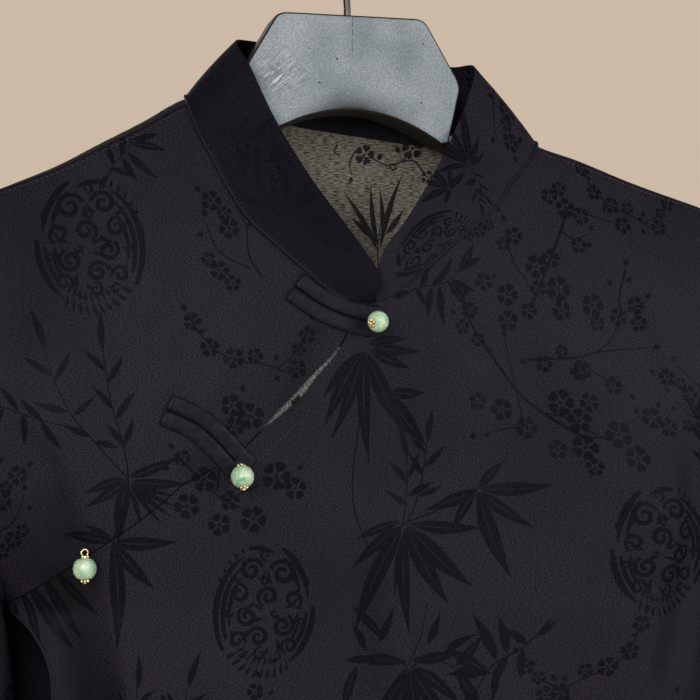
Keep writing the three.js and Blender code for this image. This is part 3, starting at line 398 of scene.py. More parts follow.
FIGURES = {
    "roundel": roundel(),
    "bamboo_fan": sprig(
        leaves=((0, 0, -119, 56, 8.5), (0, 0, -146, 32, 6), (1, -1, -91, 52, 6.4), (2, 0, -65, 44, 9),
                (3, 0, -47, 44, 9), (4, 1, -8, 36, 6.2), (-1, 2, 196, 24, 4.6), (2, -1, -104, 34, 3.6),
                (37, 17, 204, 28, 6.2), (37, 17, 48, 19, 5), (38, 17, -2, 35, 7), (38, 16, -41, 31, 6),
                (37, 16, -74, 46, 8.2), (36, 16, -124, 23, 5), (3, 10, 150, 13, 3.2), (3, 14, 30, 15, 3.4),
                (3, 20, 128, 15, 3.2), (3, 23, 62, 14, 3.2), (3, 32, 104, 16, 3.4), (8, 14, 20, 13, 3),
                (10, 24, 118, 13, 3), (11, 28, 40, 15, 3.2), (13, 40, 84, 16, 3.4), (12, 34, 130, 12, 2.8)),
        stalks=((((0, 0), (2, 12), (3, 34)), 0.9), (((2, 0), (8, 14), (13, 42)), 0.9),
                (((4, 2), (20, 8), (37, 17)), 0.8))),
    "bamboo_spray": sprig(
        leaves=((7, 30, -101, 33, 6.6), (7, 30, 17, 25, 5), (8, 28, -7, 27, 4.8), (6, 29, 196, 20, 4.6),
                (6, 28, 216, 22, 4.4), (8, 27, -20, 22, 2.6), (8, 27, -31, 25, 2.6), (8, 27, -43, 26, 2.6),
                (8, 27, -56, 24, 2.4), (7, 26, -69, 20, 2.4), (0, 0, -4, 30, 6.6), (0, 0, -52, 30, 6.2),
                (0, 0, -84, 50, 7.4), (0, 0, 167, 23, 5.4), (0, 1, 148, 15, 3.6), (5, 44, 68, 14, 3.2),
                (5, 44, 124, 13, 3), (2, 56, 60, 16, 3.4), (0, 61, 128, 14, 3), (-2, 73, 58, 15, 3.2),
                (-3, 78, 133, 15, 3), (-4, 88, 96, 18, 3.4), (-8, 46, -12, 12, 3), (-10, 48, 152, 14, 3.2),
                (-18, 58, 38, 14, 3), (-20, 60, 168, 16, 3.4), (-26, 74, 58, 15, 3), (-27, 76, 143, 16, 3.2),
                (-30, 88, 106, 20, 3.6), (-32, 56, -58, 17, 3.4), (-31, 56, 138, 15, 3.2),
                (-40, 59, -84, 15, 3.2), (-42, 60, 122, 14, 3), (-48, 62, 172, 18, 3.6),
                (-48, 62, -118, 15, 3.2)),
        stalks=((((0, 0), (4, 14), (7, 29), (5, 44), (-1, 66), (-4, 88)), 1.0),
                (((6, 30), (-8, 46), (-18, 58), (-26, 74), (-30, 88)), 0.8),
                (((-14, 52), (-32, 56), (-48, 62)), 0.7))),
    "bamboo_tuft": sprig(
        leaves=((0, 0, -122, 36, 5.4), (0, 0, -108, 40, 5.0), (1, 0, -92, 47, 5.6), (2, 0, -68, 40, 7.2),
                (12, -18, -58, 27, 7.0), (12, -17, -4, 15, 5.0), (3, 1, -28, 20, 4.6), (2, 3, 12, 18, 4.2),
                (4, 2, -8, 22, 4.2), (-1, 0, -134, 26, 4.0)),
        stalks=((((0, 0), (-2, -30), (-5, -52), (-4, -66), (2, -82)), 0.8),
                (((2, -2), (7, -10), (12, -18)), 0.8))),
    "bamboo_low": sprig(
        leaves=((0, 0, -120, 40, 6.6), (0, 0, -100, 44, 6.2), (1, 0, -80, 46, 6.6), (2, 0, -58, 40, 7.2),
                (3, 0, -36, 32, 6), (0, 2, 172, 30, 5.6), (2, 3, 4, 26, 5.4), (24, -2, -14, 18, 4.6),
                (24, -2, -60, 30, 6), (24, -1, 44, 20, 4.8), (-20, 8, 112, 16, 3.6), (-16, 4, 176, 15, 3.8),
                (-14, 12, 62, 18, 4), (-24, 2, -112, 24, 4.8), (-12, 14, 130, 22, 4.4), (10, 10, 64, 17, 4),
                (18, 6, 30, 18, 4)),
        stalks=((((0, 0), (-10, 6), (-22, 10)), 0.8), (((2, 0), (12, 4), (24, -2)), 0.8),
                (((0, 0), (6, 12), (10, 30)), 0.7))),
    "bamboo_twig": sprig(
        leaves=((14, 10, 56, 17, 4.2), (14, 10, 33, 15, 3.6), (8, 5, -48, 18, 4.4), (4, 3, -88, 20, 4),
                (0, 2, -103, 15, 3.4), (10, 6, -28, 14, 3.6), (-8, 2, -62, 12, 3), (-6, 2, 62, 12, 3),
                (0, 3, 40, 13, 3.2), (5, 5, 66, 13, 3), (-12, 0, 200, 9, 2.4)),
        stalks=((((-18, -4), (-6, 2), (6, 4), (14, 10)), 0.8),)),
    "plum_bough": sprig(
        stalks=((((30, -22), (12, -10), (0, 0), (-13, 18), (-23, 33), (-27, 43)), 1.7),
                (((1, -12), (-2, 5), (-6, 26)), 0.9), (((12, -10), (22, -12), (40, -23), (50, -24)), 1.0),
                (((30, -22), (40, -22), (60, -12)), 0.8), (((4, -16), (-10, -18), (-19, -20)), 0.8)),
        blossoms=((-24, 40, 4.4), (-28, 32, 3.8), (-20, 26, 3.8), (21, -5, 6.6), (29, -14, 6), (35, -5, 5),
                  (30, -27, 6.4), (17, -28, 4.8), (47, -21, 7), (54, -33, 6.6), (33, -37, 4.4), (-9, -8, 5.4),
                  (3, -17, 5.6), (-21, -4, 4.4), (31, 10, 4.4), (66, -13, 5.6), (74, -18, 5)),
        buds=((-26, 47, 80, 4), (-31, 38, 140, 3.6), (-6, 27, 100, 4), (-15, -20, 190, 3.6), (58, -11, 60, 4),
              (-16, 20, 20, 3.6), (-22, -20, 200, 4), (70, -8, 50, 3.6))),
    "plum_heap": sprig(
        stalks=((((22, 38), (17, 26), (11, 14), (5, 2), (-2, -12)), 1.6),
                (((17, 26), (24, 22), (32, 25)), 0.8),
                (((-13, 26), (-10, 10), (-3, 0)), 0.9), (((22, 38), (36, 34), (52, 30)), 0.8)),
        blossoms=((-9, 23, 4.6), (-15, 19, 3.6), (-26, 0, 4.6), (-14, -6, 5.6), (-14, -19, 5.4), (2, 8, 6),
                  (13, -3, 6.6), (10, 12, 5), (14, -14, 5), (-3, -14, 4.2), (21, 38, 5.4), (29, 34, 4.8),
                  (13, 44, 4.4), (26, 19, 4.4), (2, -3, 4.4), (52, 30, 4.6), (19, 48, 4)),
        buds=((-13, 30, 110, 4), (33, 27, 40, 4), (30, 20, -20, 4), (-19, 2, 150, 3.6), (42, 37, 60, 3.6),
              (61, 33, 10, 3.6))),
    "plum_arm": sprig(
        stalks=((((8, 26), (4, 14), (3, 4), (-2, -8), (-12, -16)), 1.2), (((3, 4), (10, 6), (17, 11)), 0.8),
                (((-48, -19), (-24, -18), (-8, -15), (18, -13)), 1.2),
                (((-24, -18), (-12, -26), (2, -33)), 0.8)),
        blossoms=((-12, 8, 6), (-10, -1, 4), (2, 2, 5), (12, 8, 4.6), (13, -1, 4.4), (-20, -24, 5.2),
                  (-39, -21, 4.2), (-4, -32, 4.6), (-30, -15, 3.4)),
        buds=((0, 18, 130, 4), (8, 20, 40, 4), (8, 28, 70, 4), (17, 12, 30, 4), (4, -36, -50, 4),
              (-48, -20, 180, 4), (20, -13, 10, 4))),
    "bamboo_up": sprig(
        leaves=((0, 0, 119, 37, 3.0), (0, 2, 102, 34, 2.8), (1, 1, 78, 42, 3.2), (2, 8, 92, 26, 2.4),
                (-3, 6, 134, 17, 3.0), (4, 9, 52, 16, 3.2)),
        stalks=((((2, -16), (0, -6), (0, 4), (1, 16)), 0.8),)),
    "plum_twig": sprig(
        stalks=((((34, -12), (27, -4), (14, -6), (6, -2), (-2, -1)), 0.9),
                (((22, -4), (30, 4), (36, 6)), 0.7),
                (((-3, 2), (-6, -4), (-5, -10)), 1.0), (((-12, 6), (-14, 2), (-11, 0)), 1.0)),
        blossoms=((2, 0, 5.2), (27, 2, 5.6), (17, -7, 2.2), (35, -13, 3.4)),
        buds=((9, -3, 60, 4), (20, 0, 110, 4), (-5, -11, 250, 3.4), (36, 7, 30, 3.6))),
    "plum_spray": sprig(
        stalks=((((16, -18), (10, -8), (9, 6), (2, 22)), 1.0), (((10, -14), (-4, -6), (-10, 8)), 0.9)),
        blossoms=((-7, 18, 5), (-1, 12, 3.6), (1, 5, 5), (-4, -15, 4.6), (2, -21, 4), (-9, -10, 3.6)),
        buds=((2, 24, 110, 4), (-10, 10, 100, 4), (-11, 2, 190, 3.6), (9, 6, 20, 3.6), (-12, 22, 130, 4))),
    "plum_chain": sprig(
        stalks=((((-28, 16), (-18, 2), (-6, -5), (8, -7), (24, -13)), 0.9),
                (((14, -9), (24, 0), (29, 12)), 0.8)),
        blossoms=((-26, 13, 4.4), (-18, 1, 4.6), (-7, -4, 5), (3, -3, 3.8), (28, 7, 4.2), (23, -9, 4.6),
                  (24, 0, 3.4)),
        buds=((-29, 18, 120, 4), (-23, 8, 20, 3.4), (12, -5, 50, 3.6), (30, 14, 70, 4), (13, -12, -60, 4))),
    "plum_cluster": sprig(
        stalks=((((-26, 13), (-14, 0), (-4, -8), (10, -14)), 1.0), (((-8, -4), (-6, 14), (0, 30)), 0.9),
                (((-4, -8), (10, -2), (22, 2)), 0.8)),
        blossoms=((-1, 36, 5.4), (8, 31, 6.4), (0, 26, 4.8), (-24, 12, 4.2), (-14, 2, 6), (-22, -10, 6),
                  (20, 3, 7), (29, -3, 5.4), (-7, -19, 5.4), (9, -17, 6.4), (-2, -8, 4.8)),
        buds=((-28, 16, 130, 4), (-30, 8, 200, 3.6), (30, 6, 30, 3.6), (4, 42, 80, 4))),
}

# Where each figure falls: name, across, height, turn, size, flip.
REPEAT_WIDTH, REPEAT_HEIGHT = 184, 340
FIGURE_REACH = 30  # how far past an area's edge a figure's middle may lie
CHART = (  # one repeat of the cloth
    ("roundel", 0, 0, 0, 1.0, False), ("roundel", 92, -170, 0, 1.0, True),
    ("bamboo_fan", 60, -120, 0, 0.95, False), ("plum_bough", 88, -38, 4, 0.9, False),
    ("plum_heap", 100, 20, 0, 0.9, False), ("bamboo_spray", 16, -128, 0, 0.9, False),
    ("plum_cluster", 8, -190, 10, 0.95, False), ("bamboo_low", 52, -218, 0, 0.95, False),
    ("plum_arm", 140, -250, 0, 0.95, True), ("plum_chain", -20, -232, -8, 1.0, False),
    ("bamboo_tuft", -30, -40, 0, 0.8, True), ("plum_spray", 60, -292, 0, 1.0, False),
    ("bamboo_twig", 112, -312, 0, 1.1, False), ("plum_spray", -40, -300, 30, 0.9, True),
    ("bamboo_twig", 20, -284, 170, 1.0, False),
)
FRONT_PLACES = (
    ("roundel", -129, -187, 0, 1.02, False), ("roundel", -50, -357, 0, 0.98, True),
    ("roundel", 137, -336, 0, 1.04, False),
    ("bamboo_spray", -120, -323, 0, 1.0, False), ("bamboo_fan", 17, -319, 0, 1.0, False),
    ("bamboo_tuft", -2, -236, 0, 1.14, False), ("bamboo_low", 19, -386, 0, 1.0, False),
    ("bamboo_twig", 33, -207, 0, 1.0, False), ("plum_bough", 76, -256, 0, 1.0, False),
    ("plum_heap", 86, -202, 0, 1.0, False), ("plum_arm", 129, -221, 0, 1.0, False),
    ("plum_spray", -66, -183, 0, 1.0, False), ("plum_chain", -57, -235, 0, 1.0, False),
    ("plum_cluster", -64, -297, 0, 1.0, False), ("bamboo_twig", -112, -146, 40, 0.95, False),
    ("plum_spray", -168, -308, 0, 0.9, True), ("plum_chain", 104, -390, 12, 1.0, True),
    ("bamboo_twig", 66, -380, 200, 1.3, False),
    ("plum_spray", 60, -164, -20, 0.8, True), ("plum_chain", 140, -160, -14, 0.9, False),
    ("bamboo_spray", -112, -470, 0, 0.9, True), ("plum_bough", -76, -430, 0, 0.9, True),
    ("bamboo_twig", 172, -290, 60, 1.0, False), ("plum_spray", 166, -262, 20, 0.9, False),
)


def charted(shift_x, shift_z, top, bottom, left, right):
    """The repeat's figures over an area, as places."""
    places = []
    for across in range(-3, 4):
        for up in range(-3, 4):
            for name, x, z, turn, size, flip in CHART:
                x, z = x + shift_x + REPEAT_WIDTH * across, z + shift_z + REPEAT_HEIGHT * up
                if (left - FIGURE_REACH < x < right + FIGURE_REACH
                        and bottom - FIGURE_REACH < z < top + FIGURE_REACH):
                    places.append((name, x, z, turn, size, flip))
    return places


class Finish:
    """A material, whose nodes are added one by one and joined to the ones before."""

    def __init__(self, name):
        self.material = bpy.data.materials.new(name)
        self.material.use_nodes = True
        self.tree = self.material.node_tree
        place = self.tree.nodes.new("ShaderNodeTexCoord").outputs
        self.place, self.flat = place["Object"], place["UV"]

    def feed(self, sockets, values):
        """Each value is a number, a vector or a colour, or the output to be joined."""
        for name, value in values.items():
            socket = sockets[name]
            if isinstance(value, bpy.types.NodeSocket):
                self.tree.links.new(value, socket)
            elif isinstance(value, tuple) and len(socket.default_value) > len(value):
                socket.default_value = (*value, 1)
            else:
                socket.default_value = value

    def node(self, kind, values, **settings):
        node = self.tree.nodes.new("ShaderNode" + kind)
        for setting, value in settings.items():
            setattr(node, setting, value)
        self.feed(node.inputs, values)
        return node.outputs

    def noise(self, scale, detail=2.0, roughness=0.5, distortion=0.0, place=None):
        """A soft noise, from 0 to 1, over the object's own places or others."""
        return self.node("TexNoise", {
            "Vector": place or self.place, "Scale": scale, "Detail": detail, "Roughness": roughness,
            "Distortion": distortion})["Fac"]

    def ramp(self, value, *stops):
        """A colour for a value, from stops of a place and a colour."""
        ramp = self.tree.nodes.new("ShaderNodeValToRGB")
        elements = ramp.color_ramp.elements
        elements[0].position, elements[0].color = stops[0][0], (*stops[0][1], 1)
        elements[1].position, elements[1].color = stops[-1][0], (*stops[-1][1], 1)
        for place, colour in stops[1:-1]:
            elements.new(place).color = (*colour, 1)
        self.feed(ramp.inputs, {"Fac": value})
        return ramp.outputs["Color"]

    def spread(self, value, low, high):
        """A value from 0 to 1, spread from low to high."""
        return self.node("MapRange", {"Value": value, "To Min": low, "To Max": high})["Result"]

    def bump(self, height, strength, distance, under=None):
        """A bump by height, on top of another where one is given."""
        values = {"Height": height, "Strength": strength, "Distance": distance}
        if under:
            values["Normal"] = under
        return self.node("Bump", values)["Normal"]

    def skin(self, values):
        """Sets the shader's own sockets and gives the finished material."""
        self.feed(self.tree.nodes["Principled BSDF"].inputs, values)
        return self.material


def cloth_material(name, dark, light, roughness, sheen, shine, grain, slub):
    """Woven silk: fine weft threads and slubs across, faint warp lines down, soft creases."""
    cloth = Finish(name)
    stretched = cloth.node("Mapping", {"Vector": cloth.flat, "Scale": slub})["Vector"]
    threads = cloth.noise(1.0, 1.5, 0.6, place=stretched)
    tone = cloth.ramp(threads, (0.36, dark), (0.64, light))
    # broad random patches of painted light and shade over the cloth
    cloud = cloth.ramp(cloth.noise(14.0), (0.3, (0.80, 0.80, 0.82)), (0.7, (1.08, 1.08, 1.06)))
    patch_shaded = cloth.node("Mix", {0: 1.0, 6: tone, 7: cloud}, data_type="RGBA", blend_type="MULTIPLY")[2]
    # painted shade kept on the points darkens the colour
    painted_shade = cloth.node("Attribute", {}, attribute_name="painted_shade")["Fac"]
    left_over = cloth.spread(painted_shade, 1.0, 0.0)
    shaded = cloth.node("VectorMath", {0: patch_shaded, "Scale": left_over}, operation="SCALE")
    creased = cloth.bump(cloth.noise(60.0), 0.35, 0.0012)
    return cloth.skin({
        "Base Color": shaded["Vector"],
        "Roughness": cloth.spread(threads, roughness - 0.08, roughness + 0.08),
        "Sheen Weight": sheen, "Sheen Roughness": 0.4, "Specular IOR Level": shine,
        "Normal": cloth.bump(threads, grain, 0.0003, creased)})


ground = cloth_material(
    "jacquard_ground", (0.0018, 0.0016, 0.0029), (0.0182, 0.0157, 0.0226), 0.6, 0.0, 0.06, 0.6,
    (1150, 2100, 1))
figure = cloth_material(
    "jacquard_figure", (0.0014, 0.0013, 0.0026), (0.0044, 0.0041, 0.0068), 0.5, 0.0, 0.04, 0.3,
    (1200, 500, 1))
wrong_ground = cloth_material(
    "wrong_side_ground", (0.024, 0.022, 0.018), (0.22, 0.200, 0.160), 0.85, 0.1, 0.1, 0.6, (300, 2300, 1))
wrong_figure = cloth_material(
    "wrong_side_figure", (0.006, 0.0055, 0.006), (0.02, 0.018, 0.018), 0.7, 0.0, 0.1, 0.4, (500, 900, 1))


def counterclockwise(shape):
    x, y = shape[:, 0], shape[:, 1]
    area = np.sum(x * np.roll(y, -1) - y * np.roll(x, -1))
    return shape if area > 0 else shape[::-1]


CLEAR = 1.6  # grid points keep about this far off the outlines


def cloth_piece(name, to_place, outline, shapes, extra=(), spacing=4.0, wall=CLOTH, wrong=True,
                shaded_below=-math.inf):
    """A closed thin shell of cloth. It is laid out flat inside an outline, with its figures
    as faces of their own, and each point is carried to its place and normal on the body. Its
    inside is the wrong side of the cloth, down to a height below which it takes the dark
    ground, a painted shade."""
    outline = counterclockwise(np.array(outline, float))
    low, high = outline.min(axis=0), outline.max(axis=0)
    flat, faces = [outline], [list(range(len(outline)))]
    count = len(outline)
    for shape in shapes:
        if (shape.max(axis=0) < low).any() or (shape.min(axis=0) > high).any():
            continue
        shape = counterclockwise(shape)
        flat.append(shape)
        faces.append(list(range(count, count + len(shape))))
        count += len(shape)
    marks = np.concatenate(flat)
    taken = {tuple(cell) for cell in np.floor(marks / CLEAR).astype(int)}
    grid_x, grid_y = np.meshgrid(*(np.arange(low[k] + 1, high[k], spacing) for k in (0, 1)))
    grid = rows_of(grid_x.ravel(), grid_y.ravel())
    if len(extra):
        grid = np.concatenate([grid, extra])
    cells = np.floor(grid / CLEAR).astype(int)
    free = [i for i, (a, b) in enumerate(cells) if (a, b) not in taken]
    every = np.concatenate([marks, grid[free]])
    places, _, triangles, _, _, sources = delaunay_2d_cdt(
        [Vector(p) for p in every.tolist()], [], faces, 1, 1e-4, True)
    flat = np.array([tuple(p) for p in places])
    kept = [(tuple(t), any(s > 0 for s in source)) for t, source in zip(triangles, sources) if 0 in source]
    used = sorted({corner for t, _ in kept for corner in t})
    number = {old: new for new, old in enumerate(used)}
    flat = flat[used]
    tris = np.array([[number[c] for c in t] for t, _ in kept])
    inked = np.array([ink for _, ink in kept])
    place, normal = to_place(flat)
    sides = place.copy(), to_place.inner(place - normal * wall)
    points = np.concatenate(sides) / 1000
    total = len(flat)
    edges = {}
    for t in tris.tolist():
        for a, b in ((t[0], t[1]), (t[1], t[2]), (t[2], t[0])):
            edges[(a, b)] = edges.get((a, b), 0) + 1
    rim = [(a, b) for a, b in edges if (b, a) not in edges]
    outer = tris if to_place.faces_out else tris[:, ::-1]
    inner = outer[:, ::-1] + total
    quads = [(b, a, a + total, b + total) if to_place.faces_out else (a, b, b + total, a + total)
             for a, b in rim]
    mesh = bpy.data.meshes.new(name)
    mesh.from_pydata(points.tolist(), [], outer.tolist() + inner.tolist() + quads)
    uv = mesh.uv_layers.new(name="flat")
    corner_vertex = np.empty(len(mesh.loops), int)
    mesh.loops.foreach_get("vertex_index", corner_vertex)
    both = np.concatenate([flat, flat]) / 1000
    uv.data.foreach_set("uv", both[corner_vertex].ravel())
    for material in (ground, figure) + ((wrong_ground, wrong_figure) if wrong else (ground, figure)):
        mesh.materials.append(material)
    # below the shade height the inside takes the dark ground: painted shade on the body's shadowed inside
    back_slots = np.where(flat[tris][:, :, 1].mean(axis=1) < shaded_below, 0, 2 + inked)
    slots = np.concatenate([inked.astype(int), back_slots, np.zeros(len(quads), int)])
    mesh.polygons.foreach_set("material_index", slots)
    mesh.polygons.foreach_set("use_smooth", np.ones(len(mesh.polygons), bool))
    # painted shade in the front's folds, kept on each point
    dark = fold_depth(SHADED, place[:, 0], place[:, 2]) * (place[:, 1] < 0)
    painted_shade = mesh.attributes.new("painted_shade", "FLOAT", "POINT")
    painted_shade.data.foreach_set("value", np.concatenate([dark, dark]))
    mesh.normals_split_custom_set_from_vertices(np.concatenate([normal, -normal]).tolist())
    mesh.update()
    piece = bpy.data.objects.new(name, mesh)
    bpy.context.collection.objects.link(piece)
    return piece


def unit_normal(sideways, upward):
    """The normal of cloth that runs sideways and upward."""
    normal = np.cross(sideways, upward)
    return normal / np.maximum(np.linalg.norm(normal, axis=1, keepdims=True), 1e-9)


FULLER = 22


def fuller(place):
    """The cloth hangs a little fuller on the wearer's left, from the chest to the waist."""
    x, z = place[:, 0], place[:, 2]
    part = ease(-z, 235, 345) * ease(z, -700, -430)
    side = ease(x, 40, 168) * (1 - 0.8 * ease(x, 200, 285))
    return place + rows_of(FULLER * part * side, 0, 0)


class BodyPlace:
    """Carries flat points to the front or the back of the body."""

    def __init__(self, face, edge_right, edge_left):
        self.face, self.edges, self.faces_out = face, (edge_right, edge_left), face < 0

    def on(self, across, height):
        right = on_body(self.face, across, height, self.edges[0])
        left = on_body(self.face, across, height, self.edges[1])
        return fuller(np.where((across < CENTRE)[:, None], right, left))

    def __call__(self, flat):
        across, height = flat[:, 0], flat[:, 1]
        place = self.on(across, height)
        sideways = self.on(across + NUDGE, height) - self.on(across - NUDGE, height)
        upward = self.on(across, height + NUDGE) - self.on(across, height - NUDGE)
        return place, -self.face * unit_normal(sideways, upward)

    def inner(self, place):
        low = place[:, 2] < ARMPIT + 1
        place[low, 1] = self.face * np.maximum(self.face * place[low, 1], SEAM_GAP / 2)
        return place


def body_figures(places, edge):
    shapes = []
    for name, x, z, turn, size, flip in places:
        across = float(unroll(np.array([float(x)]), np.array([float(z)]), edge)[0])
        shapes += turned(FIGURES[name], across, z, turn, size, flip)
    return shapes


def neck_at(at):
    """Places on the neck seam, at numbers of its rows and between them."""
    return strand(NECK, np.asarray(at, float) / LAST_NECK)


def slant_edge(direction, count=70):
    """The slant opening's edge on the flap (1) or the under front (-1), or its middle (0)."""
    rows = np.array(SLANT, float)
    way = np.gradient(rows[:, :2], axis=0)
    way /= np.hypot(way[:, 0], way[:, 1])[:, None]
    return strand(rows[:, :2] + beside(way) * direction * rows[:, 2:3] / 2, np.linspace(0, 1, count))


def seam_row(outside, inside):
    """Where along the neck the shoulder seam meets it, between a row below and one above."""
    for _ in range(24):
        middle = (outside + inside) / 2
        x, z = neck_at([middle])[0]
        if table_at(SHOULDER, 1, np.array([x]))[0] - z > table_at(SHOULDER, 2, np.array([x]))[0]:
            outside = middle
        else:
            inside = middle
    return inside


LEFT_SEAM = seam_row(LEFT_RIDGE - 1, LEFT_RIDGE)
RIGHT_SEAM = seam_row(RIGHT_RIDGE + 1, RIGHT_RIDGE)


def seam_height(x):
    return table_at(SHOULDER, 1, x) - table_at(SHOULDER, 2, x)


def shoulder_edge(start, end, side, count=44):
    """The shoulder seam from the neck to the armhole, in flat places; side 1 is the panel
    that stops short of the ridge, -1 the one that goes over it."""
    x = start + (end - start) * np.linspace(0, 1, count)
    return rows_of(x, flat_height(x, seam_height(x), side) - SEAM_GAP / 2)


def side_edge(sign, column, top, bottom, reach, count):
    """A panel's side edge, laid flat, between two heights."""
    z = np.linspace(top, bottom, count)
    return rows_of(unroll(CENTRE + sign * table_at(SIDES, column, z), z, reach), z)


def neck_laid(line):
    """A line of the neck, laid flat."""
    return rows_of(line[:, 0], flat_height(line[:, 0], line[:, 1], 1))


def slant_laid(line, edge):
    """A line along the slant opening, laid flat."""
    return rows_of(unroll(line[:, 0], line[:, 1], edge), line[:, 1])


def hem_line(start, end):
    return rows_of(np.linspace(start, end, 90)[1:-1], HEM)


def ridge_points(start, end, side):
    """Closer rows of points where the cloth rolls over the ridge."""
    rows = []
    x = np.arange(start, end, 3.5)
    for roll in (-6, -4, -2, 0, 1.5, 3, 4.8, 6.8, 9.2, 12):
        if roll >= 0 or side < 0:
            rows.append(rows_of(x, table_at(SHOULDER, 1, x) + OVER - roll))
    return np.concatenate(rows)


slant = slant_edge(1)[::-1]
flap_neck = neck_at(np.linspace(LAST_NECK, RIGHT_SEAM, 40))
flap_shoulder = shoulder_edge(flap_neck[-1, 0] + 0.6, 203, 1)
flap_top = np.concatenate([slant_laid(slant, FLAP_REACH), neck_laid(flap_neck), flap_shoulder])
flap_left = side_edge(1, ARM, flap_shoulder[-1, 1] - 0.5, HEM, REACH, 150)
flap_right = side_edge(-1, FLAP, ARMPIT - 0.5, HEM, FLAP_REACH, 110)[::-1]
flap_hem = hem_line(flap_left[-1, 0], flap_right[0, 0])
front_figures = (body_figures(FRONT_PLACES, REACH)
                 + body_figures(charted(-50, -527, -440, HEM, -190, 200), REACH))
cut_leaves = sprig(leaves=((-165, -346, -63, 30, 5), (-160, -341, -58, 40, 7), (-152, -338, -62, 36, 5.5),
                           (-146, -336, -50, 30, 4.6), (-170, -352, -74, 26, 4)))
front_flap = cloth_piece(
    "front_flap_cloth", BodyPlace(-1, FLAP_REACH, REACH),
    np.concatenate([flap_top, flap_left, flap_hem, flap_right]), front_figures + cut_leaves,
    extra=ridge_points(100, 202, 1), shaded_below=SHADED_INSIDE_BELOW)
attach(front_flap, "root")
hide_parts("front_flap")

# ---- Under front ---------------------------------------------------------------------
# The small front on the wearer's right, from the shoulder down to the slant opening. The
# flap's edge meets it there, and it carries both button loops.

under_neck = neck_at(np.linspace(LEFT_SEAM, 0.25, 40))
under_shoulder = shoulder_edge(under_neck[0, 0] - 0.6, -192, 1)[::-1]
under_slant = slant_edge(-1)
under_slant = under_slant[under_slant[:, 0] < -4.5]
under_outline = np.concatenate([
    under_shoulder,
    neck_laid(under_neck),
    [(-2.6, -217.2)],
    slant_laid(under_slant, REACH),
    side_edge(-1, ARM, ARMPIT + 0.6, under_shoulder[0, 1] - 0.5, REACH, 60),
])
under_front = cloth_piece(
    "under_front_cloth", BodyPlace(-1, REACH, REACH), under_outline, front_figures,
    extra=ridge_points(-191, -84, 1))
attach(under_front, "root")
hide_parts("under_front")

# ---- Back ----------------------------------------------------------------------------
# One panel, a little over the ridge at the shoulders, where its seam shows from the front.
# Its pale wrong side shows inside the neck, with the figures dark on it. From the chest down
# its inside takes the dark ground, a painted shade.

back_neck = neck_at(np.linspace(RIGHT_RIDGE, LEFT_RIDGE, 70))
back_neck[:, 1] = np.minimum(back_neck[:, 1], table_at(SHOULDER, 1, back_neck[:, 0]))
back_top = np.concatenate([
    shoulder_edge(98.6, 203, -1)[::-1],
    neck_laid(back_neck),
    shoulder_edge(-81.6, -192, -1),
])
back_right = np.concatenate([
    side_edge(-1, ARM, back_top[-1, 1] - 0.5, ARMPIT, REACH, 60),
    side_edge(-1, BACK_EDGE, ARMPIT - 3, HEM, BACK_EDGE, 100),
])
back_left = side_edge(1, ARM, HEM, back_top[0, 1] - 0.5, REACH, 150)
back_hem = hem_line(back_right[-1, 0], back_left[0, 0])
back_places = charted(-92, -300, -210, HEM, -190, 200)
back_places += [("roundel", -110, -190, 0, 1.0, False), ("roundel", 134, -196, 0, 1.0, True)]
back_places = [row for row in back_places if not (-50 < row[1] < 90 and row[2] > -235)]
back_places += [("plum_twig", 14, -134, 4, 1.0, False), ("bamboo_up", 25, -183.5, 0, 1.0, False),
                ("plum_spray", 66, -176, 0, 0.9, False), ("plum_cluster", -30, -170, 0, 0.9, False)]
back = cloth_piece(
    "back_cloth", BodyPlace(1, BACK_EDGE, REACH),
    np.concatenate([back_top, back_right, back_hem, back_left]), body_figures(back_places, REACH),
    extra=np.concatenate([ridge_points(-191, -82, -1), ridge_points(99, 202, -1)]), shaded_below=SHADED_INSIDE_BELOW)
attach(back, "root")
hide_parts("back")

# ---- Facing of the opening -----------------------------------------------------------
# A bias strip behind the slant opening, wrong side out, which shows as a pale sliver where
# the two edges part.

FACING_BEHIND, FACING_HALF = 1.3, 9.0


class FacingPlace:
    """Carries flat points (along the slant, up from its middle) to the strip behind it."""
    faces_out = True

    def __call__(self, flat):
        z = table_at(SLANT, 1, flat[:, 0])
        x, height = flat[:, 0] - flat[:, 1] * 0.6, z + flat[:, 1] * 0.8
        place, normal = BodyPlace(-1, REACH, REACH)(rows_of(x, height))
        return place - normal * FACING_BEHIND, normal

    def inner(self, place):
        return place


facing_long = np.linspace(-138, -8, 50)
facing_outline = np.concatenate([rows_of(facing_long, -FACING_HALF), rows_of(facing_long[::-1], FACING_HALF)])
facing = cloth_piece("facing_cloth", FacingPlace(), facing_outline, (), wall=0.5, wrong=False)
facing.data.materials.clear()
pale_facing = cloth_material(
    "pale_facing", (0.018, 0.018, 0.018), (0.19, 0.19, 0.18), 0.85, 0.1, 0.1, 0.6, (1500, 1500, 1))
facing.data.materials.append(pale_facing)
facing.data.materials.append(ground)
for face in facing.data.polygons:
    across = face.center.x * 1000 + 5
    face.material_index = 0 if -48 < across < -8 and not -30 < across < -27.5 else 1
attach(facing, "root")
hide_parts("opening_facing")

# ---- Sleeves -------------------------------------------------------------------------
# Long sleeves, each one panel sewn to its armhole and closed by a seam under the arm.
# They hang close to the body, a little flattened, and end in a turned cuff edge.

SLEEVE = (  # the outer fold, the inner fold and half the depth, down the arm
    (227, -214, 170.2, -374, 33), (249, -275, 168.8, -402, 35), (264, -345, 171.5, -442, 33),
    (273, -415, 178, -492, 30), (278, -490, 187, -542, 27), (281, -560, 195, -588, 23),
)
SLEEVE_GIRTH, SLEEVE_LENGTH = 330.0, 385.0
SLEEVE_MIDDLE = (187, 199, 209, 218, 225, 232, 238)  # how far out the arm's middle lies, down the arm


